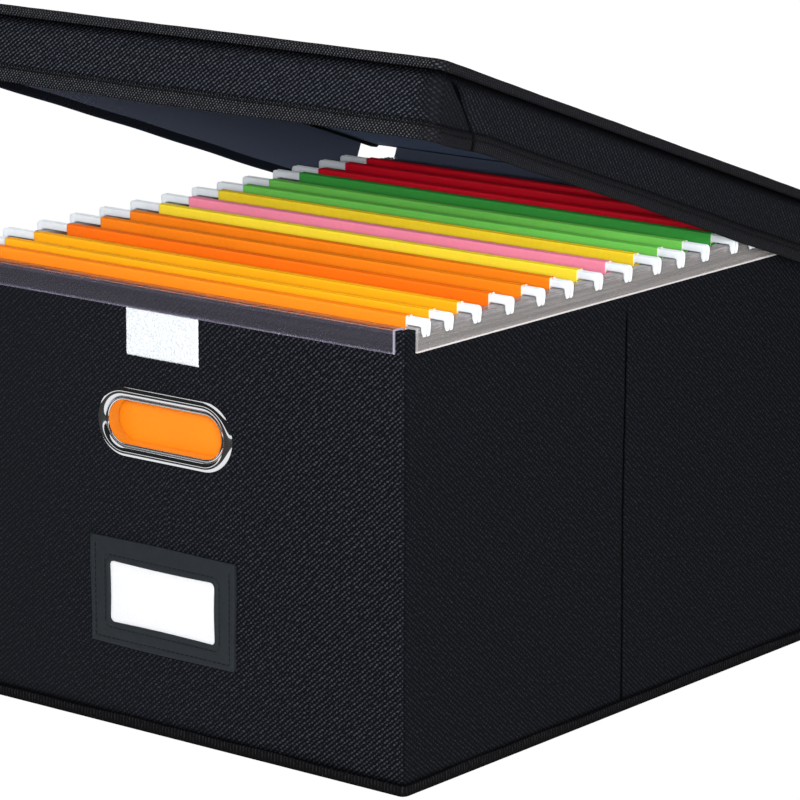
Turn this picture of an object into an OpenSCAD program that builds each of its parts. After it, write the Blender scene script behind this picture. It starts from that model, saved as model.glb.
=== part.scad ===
// Portable file box: board walls covered in woven fabric, a flip lid on a folded
// fabric hinge, clear plastic rails clipped over the rim, and letter-size hanging
// folders that slide on the side rails. Millimetres. The origin is on the floor
// under the middle of the base, the front faces -Y and +Z is up.

/* [Box] */
// Width over the outer fabric, left to right
box_w = 326; // [324:1:340]
// Depth over the outer fabric, front to back
box_d = 386; // [384:1:400]
// Height of the fabric rim above the floor
rim_h = 247; // [247:1:270]
// Thickness of a finished wall, with board and both fabrics
wall = 6; // [5:0.5:6.5]
// Thickness of the woven fabric
fabric = 0.8; // [0.6:0.1:1]
// Radius of the upright corners
corner_r = 3; // [2:0.5:5]
// Width of the fold between the two boards of a side wall
fold_gap = 3; // [2:0.5:5]

/* [Base] */
// Thickness of the covered base panel
base_t = 3; // [2.5:0.5:4]
// Thickness of the loose board that lies on the base and keeps the box open
insert_t = 3; // [2:0.5:4]
// Height of the binding sewn round the foot of the box
binding_h = 4.6; // [3:0.2:6]

/* [Rails] */
// Thickness of the clear plastic
rail_t = 1; // [0.8:0.1:1.2]
// Depth of a rail's legs
rail_leg = 13; // [10:1:16]
// Distance from a front or back rail's end to the corner of the box
rail_end_x = 6.5; // [6:0.5:12]
// Distance from a side rail's end to the corner of the box
rail_end_y = 8.5; // [7:0.5:14]

/* [Handles] */
// Length of the hand hole
slot_w = 80; // [70:1:90]
// Height of the hand hole
slot_h = 24; // [20:1:28]
// Width of the chrome flange round the hole
flange_w = 7.8; // [6:0.2:9]
// How far the flange domes out of the wall
flange_rise = 2.6; // [2:0.1:3]
// Height of the middle of the hole
handle_z = 171.8; // [165:0.2:176]

/* [Label] */
// Width of the stitched label holder
label_w = 103; // [95:0.5:110]
// Height of the label holder
label_h = 60; // [56:0.5:64]
// Width of the window
window_w = 75.5; // [70:0.5:80]
// Height of the window
window_h = 34.5; // [30:0.5:38]
// Height of the middle of the holder
label_z = 76; // [70:0.5:90]
// Sideways place of the holder, as sewn
label_x = -2; // [-3:0.5:3]

/* [Patches] */
// Width of the hook-and-loop patches
patch_w = 51; // [40:1:60]
// Height of the loop patch on the front wall
patch_h = 26; // [20:1:30]
// Sideways place of both patches, as sewn
patch_x = -1.5; // [-3:0.5:3]

/* [Lid] */
// Angle between the lid and the rim
lid_open = 19.1; // [0:0.1:179]
// Height of the front skirt, from the lid's top to its hem
front_skirt_h = 42.2; // [38:0.2:46]
// Height of the side skirts
side_skirt_h = 39.4; // [36:0.2:44]
// Thickness of the lid's board
lid_board_t = 2.5; // [2:0.1:3]
// Radius of the rolled edge
roll_r = 3; // [2.6:0.1:3.2]
// How far a side skirt stops short of the hinge
skirt_end = 16.5; // [12:0.5:24]

/* [Folders] */
// Width of a folder's card
folder_w = 298.5; // [294:0.5:300]
// Height of a folder's card
folder_h = 238; // [220:1:240]
// Thickness of the card
card_t = 0.5; // [0.4:0.1:0.6]
// Distance between a folder's two rods
rod_gap = 3; // [3:0.2:4]
// How far the cards have slid along their rods
card_shift = 3; // [-3:0.5:3]

/* [Hidden] */
$fn = 48;

// Where each folder hangs along the rails, front to back
folder_places = [-180, -161, -137.5, -109.5, -82.5, -57.5, -31, -4, 23, 45.5, 69, 97, 115, 140.5, 161];
// Card colours in the same order
orange = [1, 0.6, 0.15];
amber = [1, 0.66, 0.08];
deep_orange = [1, 0.45, 0.1];
yellow = [1, 0.88, 0.18];
pink = [0.95, 0.5, 0.62];
ochre = [0.9, 0.78, 0.15];
green = [0.35, 0.7, 0.25];
dark_green = [0.2, 0.55, 0.22];
red = [0.72, 0.05, 0.1];
folder_colours = [orange, amber, amber, deep_orange, orange, orange, yellow, pink,
    ochre, green, green, dark_green, red, red, red];
folder_count = len(folder_places);

fabric_black = [0.1, 0.1, 0.12];
lining_grey = [0.15, 0.17, 0.21];
board_brown = [0.55, 0.45, 0.33];
clear_plastic = [0.78, 0.78, 0.8, 0.45];
chrome = [0.82, 0.82, 0.84];

// Wall section: outer fabric, board, inner fabric
board_t = wall - 2 * fabric;
inner_w = box_w - 2 * wall;
inner_d = box_d - 2 * wall;
board_end_gap = 0.5;
// The outer fabric turns over the rim and down the inside
turn_in = 20;
// Groove pressed into the cover where a side wall folds, stopping short of the rail
fold_groove_w = 1.4;
fold_groove_depth = 0.4;
fold_groove_foot = binding_h + 2;
fold_groove_top = rim_h - 17;
// The binding stands proud of the cover and just off the floor
binding_t = 0.8;
binding_z = 0.4;
insert_gap = 1;
insert_r = 2;

rail_top = rim_h + rail_t;
rail_round = 1.2;

// The ring's barrel lines the hole through the wall
barrel_t = 1.2;
lip_w = 1.9;
lip_rise = 1.2;
dome_overlap = 0.4;
backing_t = 1.4;
hole_extra = 5;

// Label holder: a plate on a border that leaves a pocket open at the top
plate_t = 1.2;
pocket_t = 1.1;
border = 5;
label_r = 2;
window_r = 3;
paper_t = 0.5;
paper_gap = 0.4;
paper_top_gap = 1.5;

patch_t = 1;
patch_r = 1;

// Folder rods: flat blades that rest on the rails and hook over their outside
rod_t = 1.4;
rod_h = 4.2;
rest_gap = 0.3;
hook_clear = 0.4;
hook_w = 3.4;
hook_drop = 5;
hook_tip_r = 1.1;
hook_lean = 0.5;
shoulder_r = 2.1;
hook_fillet = 1;
rod_z = rail_top + rest_gap;
hook_out = box_w / 2 + rail_t + hook_clear + hook_w;
card_slack = 0.1;
card_fold_r = 0.8;
card_top = rod_z + rod_h + card_slack + card_t;
panel_out = rod_gap / 2 + rod_t / 2 + card_slack + card_t;
sleeve_h = rod_h + 2 * card_slack + 2 * card_t;

// Hinge: the fabric folds on a line just behind and above the back rail
bead_r = 1.1;
seat_gap = 0.3;
hinge_out = 1.4;
hinge_y = box_d / 2 + rail_t + hinge_out;
hinge_z = rail_top;
strip_gap = 0.2;
strip_y = box_d / 2 + rail_t + strip_gap;
strip_half = box_w / 2 - 9;
strip_sewn = 32;
strip_step = 2;
strip_lean = 0.3;
strip_tuck = 0.5;

// Lid, measured closed: the skirts hang outside the hook tips and the patches
skirt_t = 1.8;
hem_t = 2.6;
hem_h = 9;
lid_gap = 0.5;
lining_t = 0.5;
sheet_t = 0.6;
lid_half = hook_out + 0.6;
lid_front = box_d / 2 + rail_t + 1.5;
lining_z = card_top + lid_gap;
lid_board_z = lining_z + lining_t;
sheet_z = lid_board_z + lid_board_t;
roll_out = 1;
roll_proud = 0.2;
roll_flat = 2.6;
roll_z = sheet_z + sheet_t + roll_proud - roll_r;
lid_top = roll_z + roll_r;
skirt_top = roll_z - roll_flat;
lid_corner_r = 4;
lid_patch_t = 1.1;
lid_patch_h = 24;
lid_patch_drop = 10.8;

function two_digits(n) = str(n < 10 ? "0" : "", n);
function folder_name(i) = str("folder_", two_digits(i + 1));

BOX_NODES = ["front_board", "back_board", "left_front_board", "left_rear_board",
    "right_front_board", "right_rear_board", "outer_cover", "inner_lining", "base_panel",
    "base_binding", "base_insert", "front_rail", "back_rail", "left_rail", "right_rail",
    "front_handle_ring", "front_handle_backing", "back_handle_ring", "back_handle_backing",
    "label_holder", "label_card", "front_loop_patch", "hinge_strip"];
LID_NODES = ["lid_board", "lid_cover", "lid_lining", "lid_front_skirt", "lid_left_skirt",
    "lid_right_skirt", "lid_hook_patch"];
CARD_NODES = [for (i = [0:folder_count - 1]) str(folder_name(i), "_card")];
ROD_NODES = [for (i = [0:folder_count - 1]) str(folder_name(i), "_rods")];

// Flat outlines

module rounded(w, d, r) {
    square([w - 2 * r, d], center = true);
    square([w, d - 2 * r], center = true);
    for (x = [-1, 1], y = [-1, 1])
        translate([x * (w / 2 - r), y * (d / 2 - r)]) circle(r);
}

module stadium(w, h) {
    square([w - h, h], center = true);
    for (x = [-1, 1]) translate([x * (w - h) / 2, 0]) circle(h / 2);
}

// Places a shape drawn flat, facing up, on the front wall (side -1) or back wall (side 1)
module on_wall(side, z) {
    translate([0, side * box_d / 2, z])
        rotate([90, 0, side < 0 ? 0 : 180]) children();
}

// The hole that a handle's barrel passes through, cut right through a wall
module handle_holes() {
    for (side = [-1, 1]) on_wall(side, handle_z)
        translate([0, 0, -wall - hole_extra])
            linear_extrude(wall + 2 * hole_extra) stadium(slot_w + 2 * barrel_t, slot_h + 2 * barrel_t);
}

// Carries a profile round a stadium hole; x is outward from the hole's edge
module stadium_sweep(w, h) {
    half = (w - h) / 2;
    for (side = [0, 1]) rotate([0, 0, 180 * side]) {
        translate([half, 0, 0]) rotate([0, 0, -90])
            rotate_extrude(angle = 180) translate([h / 2, 0]) children();
        translate([-half, h / 2, 0]) rotate([90, 0, 90])
            linear_extrude(2 * half) children();
    }
}

// Walls

module end_board(side) {
    span = inner_w + 2 * fabric - 2 * board_end_gap;
    color(board_brown) difference() {
        translate([-span / 2, side < 0 ? -box_d / 2 + fabric : box_d / 2 - fabric - board_t, base_t])
            cube([span, board_t, rim_h - fabric - base_t]);
        handle_holes();
    }
}

module side_board(side, end) {
    length = box_d / 2 - fabric - fold_gap / 2;
    x = side < 0 ? -box_w / 2 + fabric : box_w / 2 - fabric - board_t;
    y = end < 0 ? -box_d / 2 + fabric : fold_gap / 2;
    color(board_brown) translate([0, 0, base_t])
        linear_extrude(rim_h - fabric - base_t) intersection() {
            translate([x, y]) square([board_t, length]);
            rounded(box_w - 2 * fabric, box_d - 2 * fabric, corner_r - fabric);
        }
}

module front_board() { end_board(-1); }
module back_board() { end_board(1); }
module left_front_board() { side_board(-1, -1); }
module left_rear_board() { side_board(-1, 1); }
module right_front_board() { side_board(1, -1); }
module right_rear_board() { side_board(1, 1); }

module outer_cover() {
    color(fabric_black) difference() {
        union() {
            translate([0, 0, base_t]) linear_extrude(rim_h - base_t) difference() {
                rounded(box_w, box_d, corner_r);
                rounded(box_w - 2 * fabric, box_d - 2 * fabric, corner_r - fabric);
            }
            translate([0, 0, rim_h - fabric]) linear_extrude(fabric) difference() {
                rounded(box_w - fabric, box_d - fabric, corner_r);
                square([inner_w, inner_d], center = true);
            }
            translate([0, 0, rim_h - turn_in]) linear_extrude(turn_in) difference() {
                square([inner_w + 2 * fabric, inner_d + 2 * fabric], center = true);
                square([inner_w, inner_d], center = true);
            }
        }
        handle_holes();
        for (side = [-1, 1])
            translate([side * box_w / 2 - fold_groove_depth, -fold_groove_w / 2, fold_groove_foot])
                cube([2 * fold_groove_depth, fold_groove_w, fold_groove_top - fold_groove_foot]);
    }
}

module inner_lining() {
    color(lining_grey) difference() {
        translate([0, 0, base_t]) linear_extrude(rim_h - turn_in - base_t) difference() {
            square([inner_w + 2 * fabric, inner_d + 2 * fabric], center = true);
            square([inner_w, inner_d], center = true);
        }
        handle_holes();
    }
}

// Base

module base_panel() {
    color(fabric_black) linear_extrude(base_t) rounded(box_w, box_d, corner_r);
}

// A flat tape with a rounded top edge, carried round the foot of the box
module binding_profile() {
    square([binding_t, binding_h - binding_t]);
    translate([0, binding_h - binding_t]) intersection() {
        circle(binding_t);
        square(binding_t);
    }
}

module base_binding() {
    color(fabric_black) translate([0, 0, binding_z])
        for (side = [0:3]) {
            w = side % 2 == 0 ? box_w : box_d;
            d = side % 2 == 0 ? box_d : box_w;
            rotate([0, 0, 90 * side]) {
                translate([-w / 2 + corner_r, -d / 2, 0]) mirror([0, 1, 0])
                    rotate([90, 0, 90]) linear_extrude(w - 2 * corner_r) binding_profile();
                translate([w / 2 - corner_r, -d / 2 + corner_r, 0]) rotate([0, 0, -90])
                    rotate_extrude(angle = 90) translate([corner_r, 0]) binding_profile();
            }
        }
}

module base_insert() {
    color(lining_grey) translate([0, 0, base_t])
        linear_extrude(insert_t) rounded(inner_w - 2 * insert_gap, inner_d - 2 * insert_gap, insert_r);
}

// Rails: an upside-down channel with rounded shoulders; x is inward from the wall's face
module rail_profile() {
    width = wall + 2 * rail_t;
    difference() {
        union() {
            translate([-rail_t, -rail_leg]) square([width, rail_leg - rail_round]);
            translate([-rail_t + rail_round, -rail_round]) square([width - 2 * rail_round, rail_round]);
            for (x = [-rail_t + rail_round, wall + rail_t - rail_round])
                translate([x, -rail_round]) circle(rail_round);
        }
        translate([0, -rail_leg - 1]) square([wall, rail_leg + 1 - rail_t]);
    }
}

module rail(side, run, reach) {
    color(clear_plastic) rotate([0, 0, 90 * side])
        translate([-run / 2, -reach / 2, rail_top])
            rotate([90, 0, 90]) linear_extrude(run) rail_profile();
}

module front_rail() { rail(0, box_w - 2 * rail_end_x, box_d); }
module right_rail() { rail(1, box_d - 2 * rail_end_y, box_w); }
module back_rail() { rail(2, box_w - 2 * rail_end_x, box_d); }
module left_rail() { rail(3, box_d - 2 * rail_end_y, box_w); }

// Handles

// Barrel, stepped inner lip and domed flange; the dome is the cap of a large circle
module ring_profile() {
    dome_w = flange_w - lip_w + dome_overlap;
    dome_r = (dome_w * dome_w / 4 + flange_rise * flange_rise) / (2 * flange_rise);
    translate([0, -wall - backing_t]) square([barrel_t, wall + backing_t]);
    intersection() {
        translate([lip_w / 2, lip_rise - lip_w / 2]) circle(lip_w / 2);
        square([lip_w, lip_rise]);
    }
    square([lip_w, lip_rise - lip_w / 2]);
    intersection() {
        translate([flange_w - dome_w / 2, flange_rise - dome_r]) circle(dome_r, $fn = 96);
        translate([flange_w - dome_w, 0]) square([dome_w, flange_rise]);
    }
}

module handle_ring(side) {
    color(chrome) on_wall(side, handle_z) stadium_sweep(slot_w, slot_h) ring_profile();
}

// Flat washer with a rounded rim, pressed round the barrel on the inside
module backing_profile() {
    width = flange_w - barrel_t - 1;
    translate([barrel_t, -wall - backing_t]) {
        square([width - backing_t / 2, backing_t]);
        translate([width - backing_t / 2, backing_t / 2]) circle(backing_t / 2);
    }
}

module handle_backing(side) {
    color(chrome) on_wall(side, handle_z) stadium_sweep(slot_w, slot_h) backing_profile();
}

module front_handle_ring() { handle_ring(-1); }
module back_handle_ring() { handle_ring(1); }
module front_handle_backing() { handle_backing(-1); }
module back_handle_backing() { handle_backing(1); }

// Label

module label_holder() {
    color([0.19, 0.21, 0.23]) translate([label_x, 0, 0]) on_wall(-1, label_z) {
        translate([0, 0, pocket_t]) linear_extrude(plate_t) difference() {
            rounded(label_w, label_h, label_r);
            rounded(window_w, window_h, window_r);
        }
        linear_extrude(pocket_t) difference() {
            rounded(label_w, label_h, label_r);
            translate([0, border]) square([label_w - 2 * border, label_h], center = true);
        }
    }
}

module label_card() {
    width = label_w - 2 * border - 2 * paper_gap;
    height = label_h - border - paper_top_gap;
    color("white") translate([label_x, 0, 0]) on_wall(-1, label_z)
        translate([-width / 2, -label_h / 2 + border + paper_gap, (pocket_t - paper_t) / 2])
            cube([width, height - paper_gap, paper_t]);
}

module front_loop_patch() {
    color([0.93, 0.93, 0.94]) on_wall(-1, rail_top - rail_leg - patch_h / 2)
        translate([patch_x, 0, 0]) linear_extrude(patch_t) rounded(patch_w, patch_h, patch_r);
}

// Hinge: sewn flat on the back wall, stepped over the rail, and folded on the hinge line
module hinge_strip() {
    wall_y = box_d / 2;
    low = rail_top - strip_sewn;
    step_z = rail_top - rail_leg - strip_gap;
    color(fabric_black) translate([-strip_half, 0, 0]) rotate([90, 0, 90])
        linear_extrude(2 * strip_half) {
            polygon([[wall_y, low], [wall_y + fabric, low],
                [wall_y + fabric, step_z - strip_step - strip_lean],
                [strip_y + fabric, step_z - strip_lean], [strip_y + fabric, hinge_z - strip_tuck],
                [strip_y, hinge_z - strip_tuck], [strip_y, step_z], [wall_y, step_z - strip_step]]);
            translate([hinge_y, hinge_z]) circle(bead_r);
        }
}

// Lid, drawn closed and turned open about the hinge line

module opened() {
    translate([0, hinge_y, hinge_z]) rotate([-lid_open, 0, 0])
        translate([0, -hinge_y, -hinge_z]) children();
}

// Carries a profile along the lid's front edge and round its two corners
module lid_front_sweep() {
    straight = lid_half - lid_corner_r;
    translate([-straight, -lid_front, 0]) mirror([0, 1, 0])
        rotate([90, 0, 90]) linear_extrude(2 * straight) children();
    for (side = [0, 1]) mirror([side, 0, 0])
        translate([straight, -lid_front + lid_corner_r, 0]) rotate([0, 0, -90])
            rotate_extrude(angle = 90) translate([lid_corner_r, 0]) children();
}

// Carries a profile along one side edge, from the corner back to rear_y
module lid_side_sweep(side, rear_y) {
    front_y = -lid_front + lid_corner_r;
    mirror([side < 0 ? 1 : 0, 0, 0]) translate([lid_half, rear_y, 0])
        rotate([90, 0, 0]) linear_extrude(rear_y - front_y) children();
}

// Fabric rolled over the board's edge, flat underneath where the skirts are sewn
module roll_profile() {
    difference() {
        translate([roll_out, roll_z]) circle(roll_r);
        translate([-roll_r, skirt_top - roll_r]) square([3 * roll_r, roll_r]);
        translate([-roll_r, skirt_top - roll_r]) square([roll_r, lining_z - skirt_top + roll_r]);
    }
}

// One thickness of skirt with a doubled hem along its lower edge
module skirt_profile(height) {
    bottom = lid_top - height;
    translate([0, bottom + hem_t / 2]) square([skirt_t, skirt_top - bottom - hem_t / 2]);
    translate([0, bottom + hem_t / 2]) square([hem_t, hem_h - hem_t / 2]);
    translate([hem_t / 2, bottom + hem_t / 2]) circle(hem_t / 2);
}

module lid_board() {
    half = lid_half + roll_out - roll_r;
    front = lid_front + roll_out - roll_r;
    color(board_brown) opened() translate([-half, -front, lid_board_z])
        cube([2 * half, front + hinge_y - sheet_t, lid_board_t]);
}

module lid_cover() {
    half = lid_half + roll_out;
    front = lid_front + roll_out;
    back = hinge_y;
    seat_cut = 4 * bead_r;
    color(fabric_black) opened() {
        difference() {
            translate([-half, -front, sheet_z]) cube([2 * half, front + back, sheet_t]);
            for (side = [-1, 1]) translate([side * half, -front, sheet_z + sheet_t / 2])
                cube([2 * lid_corner_r, 2 * lid_corner_r, 2 * sheet_t], center = true);
        }
        for (side = [-1, 1])
            translate([side * (lid_half - lid_corner_r), -lid_front + lid_corner_r, sheet_z])
                cylinder(r = lid_corner_r + roll_out, h = sheet_t);
        lid_front_sweep() roll_profile();
        for (side = [-1, 1]) lid_side_sweep(side, back) roll_profile();
        // The back edge turns down and folds over the hinge bead
        translate([-strip_half, 0, 0]) rotate([90, 0, 90]) linear_extrude(2 * strip_half) {
            translate([back - sheet_t, hinge_z + bead_r + seat_gap + sheet_t / 2])
                square([sheet_t, sheet_z - hinge_z - bead_r - seat_gap]);
            translate([hinge_y, hinge_z]) intersection() {
                difference() {
                    circle(bead_r + seat_gap + sheet_t);
                    circle(bead_r + seat_gap);
                }
                polygon([[0, 0], [0, seat_cut], [-seat_cut * sqrt(3), seat_cut]]);
            }
        }
    }
}

module lid_lining() {
    half = lid_half + roll_out - roll_r;
    front = lid_front + roll_out - roll_r;
    color(lining_grey) opened() translate([-half, -front, lining_z])
        cube([2 * half, front + hinge_y - sheet_t, lining_t]);
}

module lid_front_skirt() {
    color(fabric_black) opened() lid_front_sweep() skirt_profile(front_skirt_h);
}

module lid_side_skirt(side) {
    color(fabric_black) opened()
        lid_side_sweep(side, hinge_y - skirt_end) skirt_profile(side_skirt_h);
}

module lid_left_skirt() { lid_side_skirt(-1); }
module lid_right_skirt() { lid_side_skirt(1); }

module lid_hook_patch() {
    color([0.9, 0.9, 0.91]) opened()
        translate([patch_x, -lid_front, skirt_top - lid_patch_drop - lid_patch_h / 2])
            rotate([-90, 0, 0]) linear_extrude(lid_patch_t) rounded(patch_w, lid_patch_h, patch_r);
}

// Folders

// The rounded top fold of a sleeve, w wide, drawn up from y = 0
module fold_top(w) {
    intersection() {
        translate([w / 2, 0]) rounded(w, 2 * card_fold_r, card_fold_r);
        square([w, card_fold_r]);
    }
}

// Half of a card in section: a sleeve round one rod, and a panel down to the bottom fold
module card_half() {
    bottom = card_top - folder_h + panel_out;
    sleeve_w = rod_t + 2 * card_slack + 2 * card_t;
    translate([panel_out - card_t, bottom]) square([card_t, card_top - card_fold_r - bottom]);
    translate([panel_out - sleeve_w, card_top - sleeve_h]) difference() {
        union() {
            square([sleeve_w, sleeve_h - card_fold_r]);
            translate([0, sleeve_h - card_fold_r]) fold_top(sleeve_w);
        }
        translate([card_t, card_t]) square([sleeve_w - 2 * card_t, sleeve_h - 2 * card_t]);
    }
}

module card_section() {
    bottom = card_top - folder_h + panel_out;
    card_half();
    mirror([1, 0]) card_half();
    translate([0, bottom]) difference() {
        circle(panel_out);
        circle(panel_out - card_t);
        translate([-panel_out, 0]) square([2 * panel_out, panel_out]);
    }
}

module folder_card(i) {
    color(folder_colours[i]) translate([card_shift - folder_w / 2, folder_places[i], 0])
        rotate([90, 0, 90]) linear_extrude(folder_w) card_section();
}

// One flat blade, hooked down at each end outside the rails
module rod_outline() {
    inner = hook_out - hook_w;
    tip_x = hook_out - hook_lean - hook_tip_r;
    tip_z = rod_z - hook_drop + hook_tip_r;
    shoulder_z = rod_z + rod_h - shoulder_r;
    translate([-hook_out + shoulder_r, rod_z]) square([2 * (hook_out - shoulder_r), rod_h]);
    for (side = [0, 1]) mirror([side, 0]) {
        translate([hook_out - shoulder_r, shoulder_z]) circle(shoulder_r);
        translate([inner - hook_fillet, rod_z - hook_fillet]) difference() {
            square(hook_fillet);
            circle(hook_fillet);
        }
        polygon([[inner, shoulder_z], [inner, tip_z + hook_tip_r], [tip_x - hook_tip_r, tip_z],
            [tip_x + hook_tip_r, tip_z], [hook_out, rod_z], [hook_out, shoulder_z]]);
        translate([tip_x, tip_z]) circle(hook_tip_r);
    }
}

module folder_rods(i) {
    for (side = [-1, 1])
        color("white") translate([0, folder_places[i] + side * rod_gap / 2 + rod_t / 2, 0])
            rotate([90, 0, 0]) linear_extrude(rod_t) rod_outline();
}

front_board();
back_board();
left_front_board();
left_rear_board();
right_front_board();
right_rear_board();
outer_cover();
inner_lining();
base_panel();
base_binding();
base_insert();
front_rail();
back_rail();
left_rail();
right_rail();
front_handle_ring();
front_handle_backing();
back_handle_ring();
back_handle_backing();
label_holder();
label_card();
front_loop_patch();
hinge_strip();
lid_board();
lid_cover();
lid_lining();
lid_front_skirt();
lid_left_skirt();
lid_right_skirt();
lid_hook_patch();
for (i = [0:folder_count - 1]) {
    folder_card(i);
    folder_rods(i);
}
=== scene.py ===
"""Portable file box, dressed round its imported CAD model. Metres, in the CAD frame:
the front faces -Y, +Z is up and the floor is at z = 0. Sizes are written in millimetres."""
import math

import bmesh
import bpy
import numpy as np
from mathutils import Matrix, Vector


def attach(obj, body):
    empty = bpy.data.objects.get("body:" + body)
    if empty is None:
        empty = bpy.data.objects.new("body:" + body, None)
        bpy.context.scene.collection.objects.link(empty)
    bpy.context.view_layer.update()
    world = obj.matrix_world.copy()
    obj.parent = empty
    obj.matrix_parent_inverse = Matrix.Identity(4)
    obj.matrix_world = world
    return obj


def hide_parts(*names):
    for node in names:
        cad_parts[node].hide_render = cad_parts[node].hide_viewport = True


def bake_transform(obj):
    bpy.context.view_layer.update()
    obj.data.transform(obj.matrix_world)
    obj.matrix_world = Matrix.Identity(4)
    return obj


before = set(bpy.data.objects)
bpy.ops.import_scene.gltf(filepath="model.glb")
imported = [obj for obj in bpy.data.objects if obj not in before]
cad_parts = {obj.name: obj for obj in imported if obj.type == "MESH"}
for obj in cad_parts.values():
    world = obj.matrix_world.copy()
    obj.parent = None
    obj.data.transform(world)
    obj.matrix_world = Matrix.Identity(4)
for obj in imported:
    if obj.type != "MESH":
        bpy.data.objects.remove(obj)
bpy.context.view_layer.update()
scene = bpy.context.scene
MM = 0.001


# ---------------------------------------------------------------- floor, light and camera
# A white studio floor in a white room, lit by soft lamps that reflections leave out. The
# floor glows by itself to the photograph's white and keeps a soft shadow under the box. Black
# flags, seen only in reflections, give the chrome its dark lines.

def linear(hex_colour, alpha=1.0):
    """An sRGB hex colour such as '1c1d21' as linear RGBA."""
    parts = np.array([int(hex_colour[i:i + 2], 16) for i in (0, 2, 4)]) / 255
    parts = np.where(parts <= 0.04045, parts / 12.92, ((parts + 0.055) / 1.055) ** 2.4)
    return (*[float(p) for p in parts], alpha)


def add(tree, kind, inputs=None, **settings):
    """Adds one node: settings by name, inputs by name or number. An input is a value, a
    socket, or a node, which stands for its first enabled output."""
    made = tree.nodes.new("ShaderNode" + kind)
    for name, value in settings.items():
        setattr(made, name, value)
    for name, value in (inputs or {}).items():
        if isinstance(value, bpy.types.Node):
            value = next(socket for socket in value.outputs if socket.enabled)
        if isinstance(value, bpy.types.NodeSocket):
            tree.links.new(value, made.inputs[name])
        else:
            made.inputs[name].default_value = value
    return made


def blank_material(name):
    """A material whose node tree is still empty, and that tree."""
    material = bpy.data.materials.new(name)
    material.use_nodes = True
    material.node_tree.nodes.clear()
    return material, material.node_tree


# Matt white background paper, with a cloudy grain 3 cm across that is hardly seen. The flag
# is the ring of it between flag_from and flag_to metres from the box.
own_glow, paper_glow, flag_glow, flag_from, flag_to = 0.95, 1.04, 0.03, 0.45, 3.35
floor_paper, tree = blank_material("floor_white_paper")
place = add(tree, "TexCoord").outputs["Object"]
grain = add(tree, "TexNoise", {"Vector": place, "Scale": 30.0})
paper = add(tree, "MapRange", {0: grain, 3: 0.5, 4: 0.54})
matt = add(tree, "BsdfDiffuse", {"Color": paper})
seen = add(tree, "LightPath").outputs
ray = add(tree, "Math", {0: seen["Is Camera Ray"], 1: seen["Is Glossy Ray"]},
          operation="MAXIMUM")
own = add(tree, "Math", {0: ray, 1: own_glow}, operation="MULTIPLY")
away = add(tree, "VectorMath", {0: place}, operation="LENGTH")
flag = add(tree, "Math", {0: away, 1: (flag_from + flag_to) / 2, 2: (flag_to - flag_from) / 2},
           operation="COMPARE")
flag = add(tree, "Math", {0: flag, 1: seen["Is Glossy Ray"]}, operation="MULTIPLY")
glow = add(tree, "MapRange", {0: flag, 3: paper_glow, 4: flag_glow})
lit = add(tree, "Emission", {"Strength": glow})
both = add(tree, "MixShader", {0: own, 1: matt, 2: lit})
add(tree, "OutputMaterial", {0: both})
bpy.ops.mesh.primitive_grid_add(x_subdivisions=8, y_subdivisions=8, size=12)
floor = bpy.context.object
floor.name = "studio_floor"
floor.data.materials.append(floor_paper)

# The room is white where the camera or a reflection meets it and dim as a light, and its
# flag is a band above the horizon.
room_light, room_seen, room_flag, band_mid, band_half = 0.16, 1.0, 0.02, 0.42, 0.33
world = bpy.data.worlds.new("white_room")
scene.world = world
world.use_nodes = True
world.node_tree.nodes.clear()
tree = world.node_tree
seen = add(tree, "LightPath").outputs
ray = add(tree, "Math", {0: seen["Is Camera Ray"], 1: seen["Is Transmission Ray"]},
          operation="MAXIMUM")
rise = add(tree, "SeparateXYZ", {0: add(tree, "TexCoord").outputs["Generated"]}).outputs[2]
flag = add(tree, "Math", {0: rise, 1: band_mid, 2: band_half}, operation="COMPARE")
flag = add(tree, "Math", {0: flag, 1: seen["Is Glossy Ray"]}, operation="MULTIPLY")
shown = add(tree, "Math", {0: ray, 1: seen["Is Glossy Ray"]}, operation="MAXIMUM")
level = add(tree, "MapRange", {0: shown, 3: room_light, 4: room_seen})
level = add(tree, "MapRange", {0: flag, 3: level, 4: room_flag})
sky = add(tree, "Background", {"Color": (1, 1, 1, 1), "Strength": level})
add(tree, "OutputWorld", {0: sky})


def softbox(name, place, aim, size, power):
    """An area lamp at place, turned to aim; size is its width and height."""
    lamp = bpy.data.lights.new(name, "AREA")
    lamp.shape, lamp.size, lamp.size_y, lamp.energy = "RECTANGLE", *size, power
    holder = bpy.data.objects.new(name, lamp)
    scene.collection.objects.link(holder)
    holder.location = place
    holder.visible_glossy = False
    holder.rotation_euler = (Vector(aim) - Vector(place)).to_track_quat("-Z", "Y").to_euler()


softbox("front_softbox", (1.74, -2.18, 0.96), (0, 0, 0.23), (0.9, 0.7), 91)
softbox("left_softbox", (-1.5, -2.4, 0.75), (0, 0, 0.23), (0.8, 0.5), 3)
softbox("low_softbox", (0.3, -2.8, 0.34), (0, 0, 0.28), (1.2, 0.2), 6)
softbox("high_softbox", (0.3, -1.6, 2.1), (0, 0, 0.2), (1.0, 1.0), 8)
softbox("right_softbox", (2.6, -0.1, 1.6), (0, 0, 0.15), (1.2, 1.2), 33)
softbox("rear_softbox", (-1.7, 2.4, 1.5), (0, 0, 0.15), (1.4, 1.0), 40)

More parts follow.
